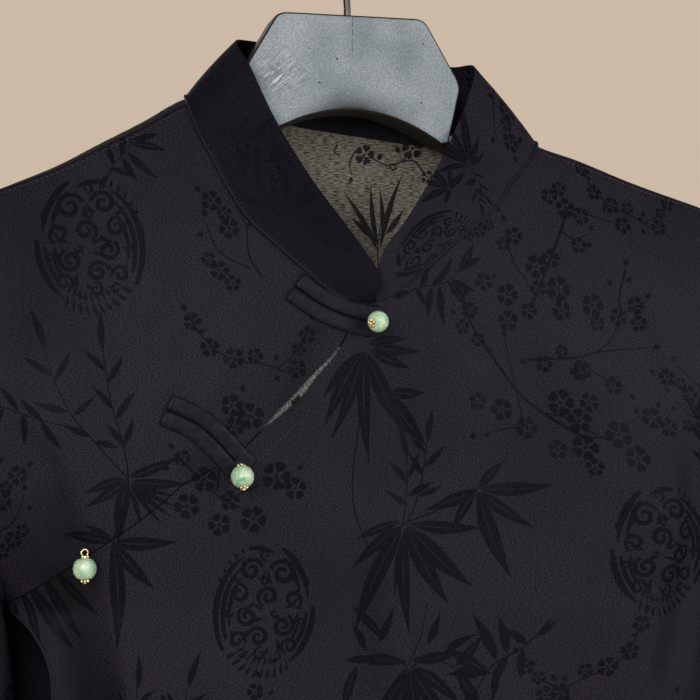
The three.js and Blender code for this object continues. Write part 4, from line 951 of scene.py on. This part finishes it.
class SleevePlace:
    """Carries flat points (round the arm from its underside, down the arm) to a sleeve."""

    def __init__(self, sign, top):
        self.sign, self.top, self.faces_out = sign, top, sign > 0

    def on(self, across, down):
        angle = across / SLEEVE_GIRTH * 2 * math.pi
        outward = -np.cos(angle)  # 1 at the outer fold, -1 under the arm
        forward = np.sin(angle)
        z = ARMPIT + (self.top - ARMPIT) * (0.5 + 0.5 * outward)
        x = CENTRE + self.sign * (table_at(SIDES, ARM, z) + 0.8)
        height = flat_height(x, z, 1)
        flat_x = unroll(x, height, REACH)
        front, rear = on_body(-1, flat_x, height, REACH), on_body(1, flat_x, height, REACH)
        root = np.where((forward >= 0)[:, None], front, rear)
        root[:, 0], root[:, 2] = x, z
        rings = [root]
        for out_x, out_z, in_x, in_z, half in SLEEVE:
            rings.append(rows_of(
                CENTRE + self.sign * (out_x * (1 + outward) + in_x * (1 - outward)) / 2,
                -forward * half - 2,
                (out_z * (1 + outward) + in_z * (1 - outward)) / 2))
        rings = np.stack(rings)
        t = np.clip(down / SLEEVE_LENGTH, 0, 1) * (len(rings) - 1)
        full = np.concatenate([[2 * rings[0] - rings[1]], rings, [2 * rings[-1] - rings[-2]]])
        i = np.clip(np.floor(t).astype(int), 0, len(rings) - 2)
        each = np.arange(len(t))
        part = (t - i)[:, None]
        place = bend(*(full[i + k, each] for k in range(4)), part)
        wave = ease(down, 20, 120) * (
            1.5 * np.sin(3 * angle + down / 60) + 1.0 * np.sin(5 * angle - down / 37))
        crush = ease(down, 60, 140) * 1.2 * np.sin(down / 13 + 2 * np.sin(angle))
        middle = rows_of(CENTRE + self.sign * np.interp(t, range(7), SLEEVE_MIDDLE), -2.0, place[:, 2])
        away = place - middle
        away /= np.maximum(np.linalg.norm(away, axis=1, keepdims=True), 1e-6)
        return fuller(place + away * (wave + crush)[:, None])

    def __call__(self, flat):
        across, down = flat[:, 0], -flat[:, 1]
        place = self.on(across, down)
        low, high = np.maximum(down - 0.5, 0), np.minimum(down + 0.5, SLEEVE_LENGTH)
        sideways = self.on(across + 0.5, down) - self.on(across - 0.5, down)
        upward = self.on(across, low) - self.on(across, high)
        return place, self.sign * unit_normal(sideways, upward)

    def inner(self, place):
        return place


# The right and the left sleeve, each from the top of its armhole.
sleeve_places = [SleevePlace(-1, -169.8), SleevePlace(1, -167.0)]
SLEEVE_SEAM = 0.1  # half the slit along the underarm seam
long = np.linspace(0, SLEEVE_LENGTH, 90)[1:-1]
round_arm = np.linspace(SLEEVE_SEAM, SLEEVE_GIRTH - SLEEVE_SEAM, 90)
sleeve_outline = np.concatenate([
    rows_of(round_arm, -SLEEVE_LENGTH), rows_of(SLEEVE_GIRTH - SLEEVE_SEAM, -long[::-1]),
    rows_of(round_arm[::-1], 0), rows_of(SLEEVE_SEAM, -long)])
for side, sleeve_place, shift in (("right", sleeve_places[0], 90), ("left", sleeve_places[1], 20)):
    shapes = []
    for name, x, z, turn, size, flip in charted(shift, 40, 0, -SLEEVE_LENGTH, 0, SLEEVE_GIRTH):
        shapes += turned(FIGURES[name], x, z, turn, size * 0.92, flip)
    sleeve = cloth_piece(f"sleeve_{side}_cloth", sleeve_place, sleeve_outline, shapes, spacing=4.5)
    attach(sleeve, "root")
    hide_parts(f"sleeve_{side}")

# ---- Collar --------------------------------------------------------------------------
# A stand collar, 40 mm high: two layers of the same cloth over a stiffener, sewn to the neck
# seam. The wearer's right end closes over the left one at the front.

COLLAR_TOP = (
    (7.8, -41.5, -202), (1, -39, -191), (-9, -34.5, -176), (-20, -30, -160.5), (-29.5, -25, -145),
    (-42.5, -17.5, -120), (-52, -14.5, -98), (-55.5, 2, -84), (-47, 14, -80.5), (-23, 21, -81.5),
    (8, 23, -84.5), (38, 19.5, -87), (59, 12, -89.5), (67, 3, -90.5), (61, -7, -108),
    (51, -14.5, -127.6), (43, -20, -141), (34, -25, -155), (24, -29.5, -169.5), (14.5, -33.5, -183),
    (10.5, -37.5, -199),
)
COLLAR_LENGTH, COLLAR_HEIGHT, COLLAR_WALL = 410.0, 40.0, 1.7
COLLAR_ROUND = 9  # the radius of the right end's upper corner
COLLAR_SHADED_FROM = 267  # from here to the right end the collar takes a darker copy of its cloth, a painted shade
# a darker copy of the ground, for the painted shade on the collar
shaded_collar_ground = cloth_material(
    "shaded_collar_ground", (0.0020, 0.0018, 0.0034), (0.0075, 0.0066, 0.0100), 0.55, 0.0, 0.03, 0.3, (700, 1700, 1))


class CollarPlace:
    """Carries flat points (round the neck from its left end, up from the seam) to the collar."""
    faces_out = True

    def on(self, across, up):
        at = LAST_NECK * (1 - across / COLLAR_LENGTH)
        step = up / COLLAR_HEIGHT
        seam = neck_at(at)
        ridge = table_at(SHOULDER, 1, seam[:, 0])
        z = np.minimum(seam[:, 1], ridge)
        behind = (at > LEFT_RIDGE) & (at < RIGHT_RIDGE)
        height = flat_height(seam[:, 0], z, 1)
        front, rear = on_body(-1, seam[:, 0], height, REACH), on_body(1, seam[:, 0], height, REACH)
        foot = np.where(behind[:, None], rear, front)
        edge = strand(COLLAR_TOP, at / LAST_NECK)
        start = 0.1 / np.linalg.norm(edge - foot, axis=1)
        way = (start + (1 - start) * step)[:, None]
        place = foot + (edge - foot) * way
        out = rows_of(foot[:, 0] - CENTRE, foot[:, 1] * 2, 0)
        out /= np.linalg.norm(out, axis=1, keepdims=True)
        # the left end runs in under the right one, and its foot is drawn down into the seam
        lap, foot_lap = ease(at, 18.4, LAST_NECK), ease(at, 19, LAST_NECK)
        place[:, 0] -= 5.0 * lap * step + 7.5 * foot_lap * (1 - step)
        place[:, 1] += 1.6 * lap
        place[:, 2] -= foot_lap * (1 - step) * (10.0 - 6.4 * foot_lap)
        return place + out * (1.2 * 4 * step * (1 - step))[:, None]

    def __call__(self, flat):
        across, up = flat[:, 0], flat[:, 1]
        left, right = np.maximum(across - 0.6, 0), np.minimum(across + 0.6, COLLAR_LENGTH)
        sideways = self.on(right, up) - self.on(left, up)
        upward = self.on(across, up + 0.5) - self.on(across, up - 0.5)
        normal = unit_normal(sideways, upward)
        return self.on(across, up) + normal * COLLAR_WALL / 2, normal

    def inner(self, place):
        return place


long = np.linspace(0, COLLAR_LENGTH - COLLAR_ROUND, 150)
corner = np.radians(np.linspace(0, 90, 9))[1:-1]
collar_outline = np.concatenate([
    rows_of(long, 0), rows_of(COLLAR_LENGTH, np.linspace(0, COLLAR_HEIGHT - COLLAR_ROUND, 9)),
    rows_of(COLLAR_LENGTH - COLLAR_ROUND + COLLAR_ROUND * np.cos(corner),
            COLLAR_HEIGHT - COLLAR_ROUND + COLLAR_ROUND * np.sin(corner)),
    rows_of(long[::-1], COLLAR_HEIGHT), rows_of(0, np.linspace(0, COLLAR_HEIGHT, 14)[::-1][1:-1])])
collar_figures = []
for name, x, z, turn, size, flip in (
    ("roundel", 36, 12, 60, 0.8, False), ("bamboo_fan", 92, 26, 150, 0.6, False),
    ("plum_spray", 140, 20, 90, 1.0, False), ("plum_chain", 180, 20, 0, 0.9, False),
    ("bamboo_tuft", 226, 30, 60, 0.8, False), ("plum_spray", 262, 20, 0, 0.9, True),
    ("bamboo_twig", 312, 22, 40, 1.0, False), ("bamboo_twig", 336, 20, -120, 1.0, True),
    ("plum_spray", 378, 20, 60, 0.8, False),
):
    collar_figures += turned(FIGURES[name], x, z, turn, size, flip)
collar_place = CollarPlace()
collar = cloth_piece(
    "collar_cloth", collar_place, collar_outline, collar_figures, spacing=3.5, wall=COLLAR_WALL, wrong=False)
# painted shade on the collar: its ground darkens from 150 mm along, and on to the right end it takes the
# darker copy
corners = np.empty(len(collar.data.loops), int)
collar.data.loops.foreach_get("vertex_index", corners)
flat_places = np.empty(2 * len(corners))
collar.data.uv_layers["flat"].data.foreach_get("uv", flat_places)
across = np.zeros(len(collar.data.vertices))
across[corners] = flat_places[0::2] * 1000
shade = 0.56 * ease(across, 150, 250) * (1 - ease(across, COLLAR_SHADED_FROM - 3, COLLAR_SHADED_FROM + 3))
collar.data.attributes["painted_shade"].data.foreach_set("value", shade)
collar.data.materials.append(shaded_collar_ground)
for face in collar.data.polygons:
    if face.material_index == 0 and across[list(face.vertices)].mean() > COLLAR_SHADED_FROM:
        face.material_index = 4
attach(collar, "root")
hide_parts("collar")

# ---- Seam cords ----------------------------------------------------------------------
# The neck seam is piped with a thin roll of the cloth. The shoulder seams and the slant edge
# are plain seams with the allowances pressed open under them; each is drawn as a fine dark
# cord, a painted shadow of its groove.


def on_front(x, z, lift=0.0):
    """Places and normals on the front of the body, lifted off the cloth."""
    x, z = np.asarray(x, float), np.asarray(z, float)
    height = flat_height(x, z, 1)
    place, normal = BodyPlace(-1, REACH, REACH)(rows_of(unroll(x, height, REACH), height))
    return place + normal * lift, normal


def closed_shell(name, verts, faces, material):
    """A smooth closed mesh in one material, its faces turned outwards."""
    mesh = bpy.data.meshes.new(name)
    mesh.from_pydata(verts, [], faces)
    shaping = bmesh.new()
    shaping.from_mesh(mesh)
    bmesh.ops.recalc_face_normals(shaping, faces=shaping.faces)
    shaping.to_mesh(mesh)
    shaping.free()
    mesh.polygons.foreach_set("use_smooth", np.ones(len(mesh.polygons), bool))
    mesh.materials.append(material)
    shell = bpy.data.objects.new(name, mesh)
    bpy.context.collection.objects.link(shell)
    return shell


def tube(name, paths, radius, material, sides=6):
    """Round cords along paths of places."""
    verts, faces = [], []
    for path in paths:
        path = np.array(path, float)
        way = np.gradient(path, axis=0)
        way /= np.linalg.norm(way, axis=1, keepdims=True)
        side = np.cross(way, (0, -1, 0.3))
        side /= np.linalg.norm(side, axis=1, keepdims=True)
        up = np.cross(side, way)
        first, rings = len(verts), len(path)
        thick = radius * np.minimum(1, 0.35 + np.minimum(np.arange(rings), np.arange(rings)[::-1]) * 0.35)
        for i in range(rings):
            for k in range(sides):
                a = 2 * math.pi * k / sides
                verts.append((path[i] + thick[i] * (side[i] * math.cos(a) + up[i] * math.sin(a))) / 1000)
        for i in range(rings - 1):
            for k in range(sides):
                a, b = first + i * sides + k, first + i * sides + (k + 1) % sides
                faces.append((a, a + sides, b + sides, b))
        faces.append(tuple(range(first, first + sides)))
        faces.append(tuple(reversed(range(first + (rings - 1) * sides, first + rings * sides))))
    return closed_shell(name, verts, faces, material)


# painted shadow of the seam grooves: a near-black cloth for the fine cords
seam_shadow = cloth_material(
    "seam_shadow", (0.0010, 0.0010, 0.0014), (0.0026, 0.0025, 0.0034), 0.8, 0.0, 0.03, 0.3, (900, 900, 1))
shoulder_seams = np.linspace(-82, -190, 60), np.linspace(99.5, 201, 60)
slant_line = slant_edge(0, 90)
slant_line = slant_line[slant_line[:, 0] < -47]
seam_paths = [on_front(x, seam_height(x))[0] for x in shoulder_seams]
seam_paths.append(on_front(slant_line[:, 0], slant_line[:, 1], -0.05)[0])
seam_shadow_lines = tube("seam_shadow_lines", seam_paths, 0.26, seam_shadow)
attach(seam_shadow_lines, "root")

seam_part = np.linspace(-0.22, 0.22, 60) * SLEEVE_GIRTH  # the lower part of the armhole
under_arm_roll = tube(
    "under_arm_roll", [sleeve.on(seam_part, np.full(60, 3.0)) for sleeve in sleeve_places], 2.2, ground)
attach(under_arm_roll, "root")
z = np.linspace(ARMPIT - 2, HEM + 1, 160)
flap_edge = unroll(CENTRE - table_at(SIDES, FLAP, z), z, FLAP_REACH) + 0.6
place, normal = BodyPlace(-1, FLAP_REACH, REACH)(rows_of(flap_edge, z))
flap_roll = tube("flap_edge_roll", [place + normal * 0.1], 0.6, ground)
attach(flap_roll, "root")

collar_foot = [collar_place(rows_of(np.linspace(low, high, 90), 0.9))
               for low, high in ((9, 130), (128, 264), (262, 398))]
collar_piping = tube("collar_piping", [place + normal * 0.25 for place, normal in collar_foot], 0.75, ground)
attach(collar_piping, "root")

# ---- Button loops --------------------------------------------------------------------
# Two loops of folded satin, each run down to its bead, turned in a sharp corner past it and
# run back beside itself. The ends are turned under and sewn to the cloth.

LOOP_HALF, LOOP_WALL, LOOP_LIFT, LOOP_GAP = 3.7, 1.5, 0.4, 0.15
CORNER_OUT, CORNER_AT, CORNER_SOFT = 0.55, 0.62, 0.42  # the sharp corner: how far out, where, how soft
LOOP_STEPS = 30
LOOPS = (  # the middle line from the far end to the bead, and where stitches cross it
    ("loop_neck", ((-34.8, -205.2), (-24.5, -212.4), (-14.5, -217.2), (-5, -220.2), (0.5, -221.4)), (0.07,)),
    ("loop_chest", ((-95.6, -262.6), (-87.5, -266.2), (-79.5, -270.6), (-69.5, -280.1), (-63.5, -287)),
     (0.13, 0.62)),
)

satin_mix = Finish("satin")
folds = satin_mix.noise(260.0, 3.0)
satin = satin_mix.skin({
    "Base Color": satin_mix.ramp(folds, (0.3, (0.0022, 0.0019, 0.0032)), (0.7, (0.0076, 0.0068, 0.0100))),
    "Roughness": 0.45, "Specular IOR Level": 0.10, "Normal": satin_mix.bump(folds, 0.25, 0.0006)})

crossing_rows = []
for name, path, rows in LOOPS:
    run = strand(path, np.linspace(0, 1, LOOP_STEPS))
    way = np.gradient(run, axis=0)
    way /= np.linalg.norm(way, axis=1, keepdims=True)
    over = beside(way)
    offset = LOOP_HALF + LOOP_GAP
    angle = np.linspace(0, math.pi, 17)[1:-1]
    turn = over[-1] * np.cos(angle)[:, None] + way[-1] * np.sin(angle)[:, None]
    turn_over = np.concatenate([over, turn, -over[::-1]])
    spine = np.concatenate([run, np.tile(run[-1], (len(angle), 1)), run[::-1]]) + turn_over * offset
    corner_out = np.zeros(len(spine))
    corner_out[LOOP_STEPS:-LOOP_STEPS] = CORNER_OUT * np.exp(-((angle - CORNER_AT) / CORNER_SOFT)**2)
    profile = [(step, LOOP_LIFT + LOOP_WALL * (1 - 0.62 * abs(step)**7 - 0.06 * (1 - step * step)))
               for step in (-1, -0.97, -0.9, -0.75, -0.4, 0, 0.4, 0.75, 0.9, 0.97, 1)]
    profile += [(1, LOOP_LIFT), (0, LOOP_LIFT), (-1, LOOP_LIFT)]
    verts, faces = [], []
    for step, lift in profile:
        out = np.where(step > 0, step * (1 + corner_out), step)
        flat = spine + turn_over * (LOOP_HALF * out)[:, None]
        verts.append(on_front(flat[:, 0], flat[:, 1], lift)[0] / 1000)
    length, sides = len(spine), len(profile)
    for k in range(sides):
        for i in range(length - 1):
            a, b = k * length + i, (k + 1) % sides * length + i
            faces.append((a, a + 1, b + 1, b))
    faces.append(tuple(k * length for k in range(sides)))
    faces.append(tuple(k * length + length - 1 for k in reversed(range(sides))))
    loop = closed_shell(name + "_satin", np.concatenate(verts).tolist(), faces, satin)
    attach(loop, "root")
    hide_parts(name)
    for at in rows:
        i = int(at * (LOOP_STEPS - 1))
        for side in (-1, 1):
            step = side * offset + LOOP_HALF * np.linspace(-0.85, 0.85, 9)
            flat = run[i] + over[i] * step[:, None] + way[i] * 0.25 * np.sin(np.arange(9) * 2.2)[:, None]
            crossing_rows.append(on_front(flat[:, 0], flat[:, 1], LOOP_LIFT + LOOP_WALL - 0.12))

# ---- Stitches ------------------------------------------------------------------------
# Small hand stitches of dark grey silk: beside the slant opening, along the neck and shoulder
# seams, round the hem and cuffs, and in rows across the button loops.

thread_mix = Finish("silk_thread")
thread = thread_mix.skin({"Roughness": 0.5, "Base Color": thread_mix.ramp(
    thread_mix.noise(900.0), (0.3, (0.006, 0.006, 0.008)), (0.7, (0.040, 0.038, 0.044)))})


def stitches(name, rows, pitch, length, thick):
    """Rows of stitches, each a small pointed bar on the cloth."""
    verts, faces = [], []
    for path, normal in rows:
        along = np.concatenate([[0], np.cumsum(np.linalg.norm(np.diff(path, axis=0), axis=1))])
        for at in np.arange(pitch * 0.6, along[-1], pitch):
            middle = np.array([np.interp(at, along, path[:, k]) for k in range(3)])
            ahead = np.array([np.interp(min(at + 0.3, along[-1]), along, path[:, k]) for k in range(3)])
            up = np.array([np.interp(at, along, normal[:, k]) for k in range(3)])
            way = (ahead - middle) / max(np.linalg.norm(ahead - middle), 1e-6)
            side = np.cross(way, up)
            first = len(verts)
            for vector in (way * length, side * thick, -way * length, -side * thick, up * thick, -up * thick):
                verts.append((middle + vector / 2) / 1000)
            for k in range(4):
                faces.append((first + k, first + (k + 1) % 4, first + 4))
                faces.append((first + (k + 1) % 4, first + k, first + 5))
    mesh = bpy.data.meshes.new(name)
    mesh.from_pydata(verts, [], faces)
    mesh.materials.append(thread)
    piece = bpy.data.objects.new(name, mesh)
    bpy.context.collection.objects.link(piece)
    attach(piece, "root")


slant_rows = []
for away, start, end in ((-9.5, -28, -66), (8, -12, -26)):
    line = slant_edge(0, 160)
    way = np.gradient(line, axis=0)
    way /= np.linalg.norm(way, axis=1, keepdims=True)
    line = line - beside(way) * away
    line = line[(line[:, 0] < start) & (line[:, 0] > end)]
    slant_rows.append(on_front(line[:, 0], line[:, 1], 0.12))
stitches("slant_stitches", slant_rows, 2.4, 1.3, 0.42)

neck_rows = [collar_place(rows_of(np.linspace(low, high, 120), 2.6)) for low, high in ((6, 118), (300, 402))]
stitches("neck_stitches", neck_rows, 1.9, 1.0, 0.34)

shoulder_rows = [on_front(x, seam_height(x) - 2.0, 0.1) for x in shoulder_seams]
stitches("shoulder_stitches", shoulder_rows, 2.6, 1.3, 0.36)

HEM_TURNING, CUFF_TURNING = 25, 20
hem_rows = []
for face, edge in ((-1, FLAP_REACH), (1, BACK_EDGE)):
    place, normal = BodyPlace(face, edge, REACH)(rows_of(np.linspace(-158, 168, 200), HEM + HEM_TURNING))
    hem_rows.append((place + normal * 0.1, normal))
stitches("hem_stitches", hem_rows, 4.0, 1.0, 0.36)

cuff_rows = []
for sleeve_place in sleeve_places:
    place, normal = sleeve_place(rows_of(np.linspace(1, SLEEVE_GIRTH - 1, 160), CUFF_TURNING - SLEEVE_LENGTH))
    cuff_rows.append((place + normal * 0.1, normal))
stitches("cuff_stitches", cuff_rows, 4.0, 1.0, 0.36)

stitches("loop_stitches", crossing_rows, 0.95, 0.75, 0.30)

# ---- Jade beads ----------------------------------------------------------------------
# Three mottled jade beads, the lowest one barrel shaped. Each is drilled through and held by a
# gilt pin whose ends are finished with grains of gold; the lowest hangs from a wire loop.

jade_mix = Finish("jade")
jade = jade_mix.skin({
    "Base Color": jade_mix.ramp(
        jade_mix.noise(130.0, 4.0, distortion=0.6), (0.32, (0.13, 0.29, 0.16)), (0.48, (0.25, 0.40, 0.25)),
        (0.60, (0.38, 0.48, 0.32)), (0.72, (0.52, 0.54, 0.42))),
    "Roughness": 0.22, "Specular IOR Level": 0.5, "Subsurface Weight": 0.35,
    "Subsurface Radius": (0.004, 0.005, 0.003), "Subsurface Scale": 0.5})

gold_mix = Finish("gold")
wear = gold_mix.noise(700.0)
gold = gold_mix.skin({
    "Metallic": 1.0, "Base Color": gold_mix.ramp(wear, (0.3, (0.46, 0.32, 0.13)), (0.7, (0.95, 0.82, 0.52))),
    "Roughness": gold_mix.spread(wear, 0.18, 0.38)})

BEADS = (  # the way the pin points, and half the bead's length along it
    ("neck", (-0.75, -0.55, -0.15), 4.7), ("chest", (0.05, -0.5, -1), 5.1), ("underarm", (0, -0.1, -1), 5.1))
GRAIN_RING = 1.45  # how far out from the pin's middle the ring of grains lies
for bead, aim, half in BEADS:
    node = bpy.data.objects[f"bead_{bead}"]
    node.data.materials.clear()
    node.data.materials.append(jade)
    corners = np.array([tuple(vertex.co) for vertex in node.data.vertices])
    middle = Vector((corners.min(axis=0) + corners.max(axis=0)) / 2)
    axis = Vector(aim).normalized()
    turn = axis.to_track_quat("Z", "Y").to_matrix()
    parts = []
    bpy.ops.object.select_all(action="DESELECT")
    bpy.ops.mesh.primitive_cylinder_add(
        vertices=16, radius=0.0009, depth=(2 * half + 0.8) / 1000, location=middle, rotation=turn.to_euler())
    parts.append(bpy.context.active_object)
    hung = bead == "underarm"  # its upper end has a wire loop in place of the middle grain
    reach = half + 0.35
    for sign, count in ((1, 5), (-1, 3 if hung else 5)):
        grains = [] if hung and sign < 0 else [(0, 0, reach + 0.75, 0.8)]
        grains += [(2 * math.pi * k / count + 0.3, GRAIN_RING, reach, 0.72) for k in range(count)]
        for a, out, height, radius in grains:
            spot = middle + turn @ Vector((out * math.cos(a), out * math.sin(a), sign * height)) / 1000
            bpy.ops.mesh.primitive_uv_sphere_add(
                segments=14, ring_count=10, radius=radius / 1000, location=spot)
            parts.append(bpy.context.active_object)
    if hung:
        ring_at = middle - axis * (half + 2.1) / 1000
        bpy.ops.mesh.primitive_torus_add(
            major_segments=36, minor_segments=10, major_radius=0.0016, minor_radius=0.00038, location=ring_at,
            rotation=(math.pi / 2, 0, 0.35))
        parts.append(bpy.context.active_object)
    for part in parts:
        part.select_set(True)
    bpy.context.view_layer.objects.active = parts[0]
    bpy.ops.object.join()
    findings = bpy.context.active_object
    bpy.ops.object.transform_apply(location=True, rotation=True, scale=True)
    bpy.ops.object.shade_smooth_by_angle(angle=math.radians(40))
    findings.name = f"gold_grains_{bead}"
    findings.data.materials.clear()
    findings.data.materials.append(gold)
    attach(findings, "root")
    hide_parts(f"pin_{bead}")

# ---- Hanger --------------------------------------------------------------------------
# A broad wooden hanger with worn grey-blue paint on its faces; painted shade darkens its edges,
# its sides and a band along the arch. The hook is a plain rod of black plated steel screwed into its top.

hanger = bpy.data.objects["hanger_body"]
paint = Finish("worn_paint")
BLACK, WHITE = (0, 0, 0), (1, 1, 1)
HEAD_TOP = -0.0709  # heights and widths on the head, in metres as the frame
SEAM_FOOT, SEAM_HALF = -0.091, 0.00022
ARCH_TOP, ARCH_DROP, ARCH_HALF = -0.1173, 0.0095, 0.036
SCRATCHED_X, SCRATCHED_Z, SCRATCHED_REACH = -0.036, -0.100, 0.015


def reckon(operation, first, second=0.0, clamp=False):
    """One step of arithmetic on the paint's values."""
    return paint.node("Math", {0: first, 1: second}, operation=operation, use_clamp=clamp)[0]


def painted(share, under, over):
    """One colour over another, by its share from 0 to 1."""
    return paint.node("Mix", {0: share, 6: under, 7: over}, data_type="RGBA")[2]


split = paint.node("SeparateXYZ", {0: paint.place})
x, z = split["X"], split["Z"]
tilt = paint.node("SeparateXYZ", {0: paint.node("NewGeometry", {})["Normal"]})
blotch, speck = paint.noise(45.0, 5.0), paint.noise(620.0)
tone = paint.ramp(
    blotch, (0.3, (0.118, 0.142, 0.153)), (0.5, (0.160, 0.183, 0.192)), (0.72, (0.205, 0.228, 0.236)))
colour = painted(paint.ramp(speck, (0.70, BLACK), (0.76, WHITE)), tone, (0.10, 0.115, 0.12))
grit = paint.ramp(paint.noise(1100.0), (0.35, (0.72, 0.72, 0.72)), (0.65, (1.2, 1.2, 1.2)))
colour = paint.node("VectorMath", {0: colour, 1: grit}, operation="MULTIPLY")["Vector"]
chips = paint.node("TexVoronoi", {"Vector": paint.place, "Scale": 85.0})["Distance"]
colour = painted(reckon("LESS_THAN", chips, 0.055), colour, (0.03, 0.035, 0.035))

# scratches of three directions round one worn place
off_x, off_z = reckon("ADD", x, -SCRATCHED_X), reckon("ADD", z, -SCRATCHED_Z)
off = reckon("SQRT", reckon("ADD", reckon("MULTIPLY", off_x, off_x), reckon("MULTIPLY", off_z, off_z)))
near = reckon("SUBTRACT", 1.15, reckon("DIVIDE", off, SCRATCHED_REACH), True)
for degrees, tint in ((38, (0.46, 0.48, 0.45)), (-30, (0.07, 0.08, 0.085)), (52, (0.09, 0.10, 0.105))):
    lean = paint.node("Mapping", {"Vector": paint.place, "Rotation": (0, math.radians(degrees), 0)})
    drawn = paint.node("Mapping", {"Vector": lean["Vector"], "Scale": (90, 1, 1700)})
    scratches = paint.ramp(paint.noise(1.0, place=drawn["Vector"]), (0.55, BLACK), (0.66, WHITE))
    colour = painted(reckon("MULTIPLY", scratches, near), colour, tint)

# painted shade along the arch, a dark line up the seam, and a thin pale brown line at the arch's rim
wide = reckon("ABSOLUTE", x)
drop = reckon("MULTIPLY", reckon("POWER", reckon("DIVIDE", wide, ARCH_HALF), 2.0), ARCH_DROP)
above = reckon("SUBTRACT", z, reckon("SUBTRACT", ARCH_TOP, drop))
shade = reckon("SUBTRACT", 1.1, reckon("DIVIDE", above, 0.0115), True)
inward = reckon("SUBTRACT", 1.15, reckon("DIVIDE", wide, 0.032), True)
colour = painted(reckon("MULTIPLY", reckon("POWER", shade, 1.4), inward), colour, (0.012, 0.013, 0.015))
seam = reckon("MULTIPLY", reckon("LESS_THAN", wide, SEAM_HALF), reckon("GREATER_THAN", z, SEAM_FOOT))
broken = paint.ramp(speck, (0.42, BLACK), (0.5, WHITE))
colour = painted(reckon("MULTIPLY", seam, broken), colour, (0.04, 0.045, 0.045))
colour = painted(reckon("GREATER_THAN", z, HEAD_TOP), colour, (0.02, 0.022, 0.02))
rim = reckon("LESS_THAN", reckon("ABSOLUTE", reckon("SUBTRACT", above, 0.0006)), 0.0004)
colour = painted(rim, colour, (0.20, 0.17, 0.145))
# painted shade on the edges, sides and underside, which turn away from the front
turned_away = reckon("LESS_THAN", reckon("ABSOLUTE", tilt["Y"]), 0.9)
colour = painted(turned_away, colour, (0.010, 0.008, 0.007))
worn_paint = paint.skin({
    "Base Color": colour, "Roughness": 0.55, "Specular IOR Level": 0.3,
    "Normal": paint.bump(blotch, 0.25, 0.0004)})
hanger.data.materials.clear()
hanger.data.materials.append(worn_paint)

hook = bpy.data.objects["hanger_hook"]
steel_mix = Finish("black_steel")
plating = steel_mix.noise(160.0)
steel = steel_mix.skin({
    "Metallic": 1.0, "Roughness": steel_mix.spread(plating, 0.18, 0.34),
    "Base Color": steel_mix.ramp(plating, (0.3, (0.022, 0.020, 0.019)), (0.7, (0.055, 0.050, 0.047)))})
hook.data.materials.clear()
hook.data.materials.append(steel)
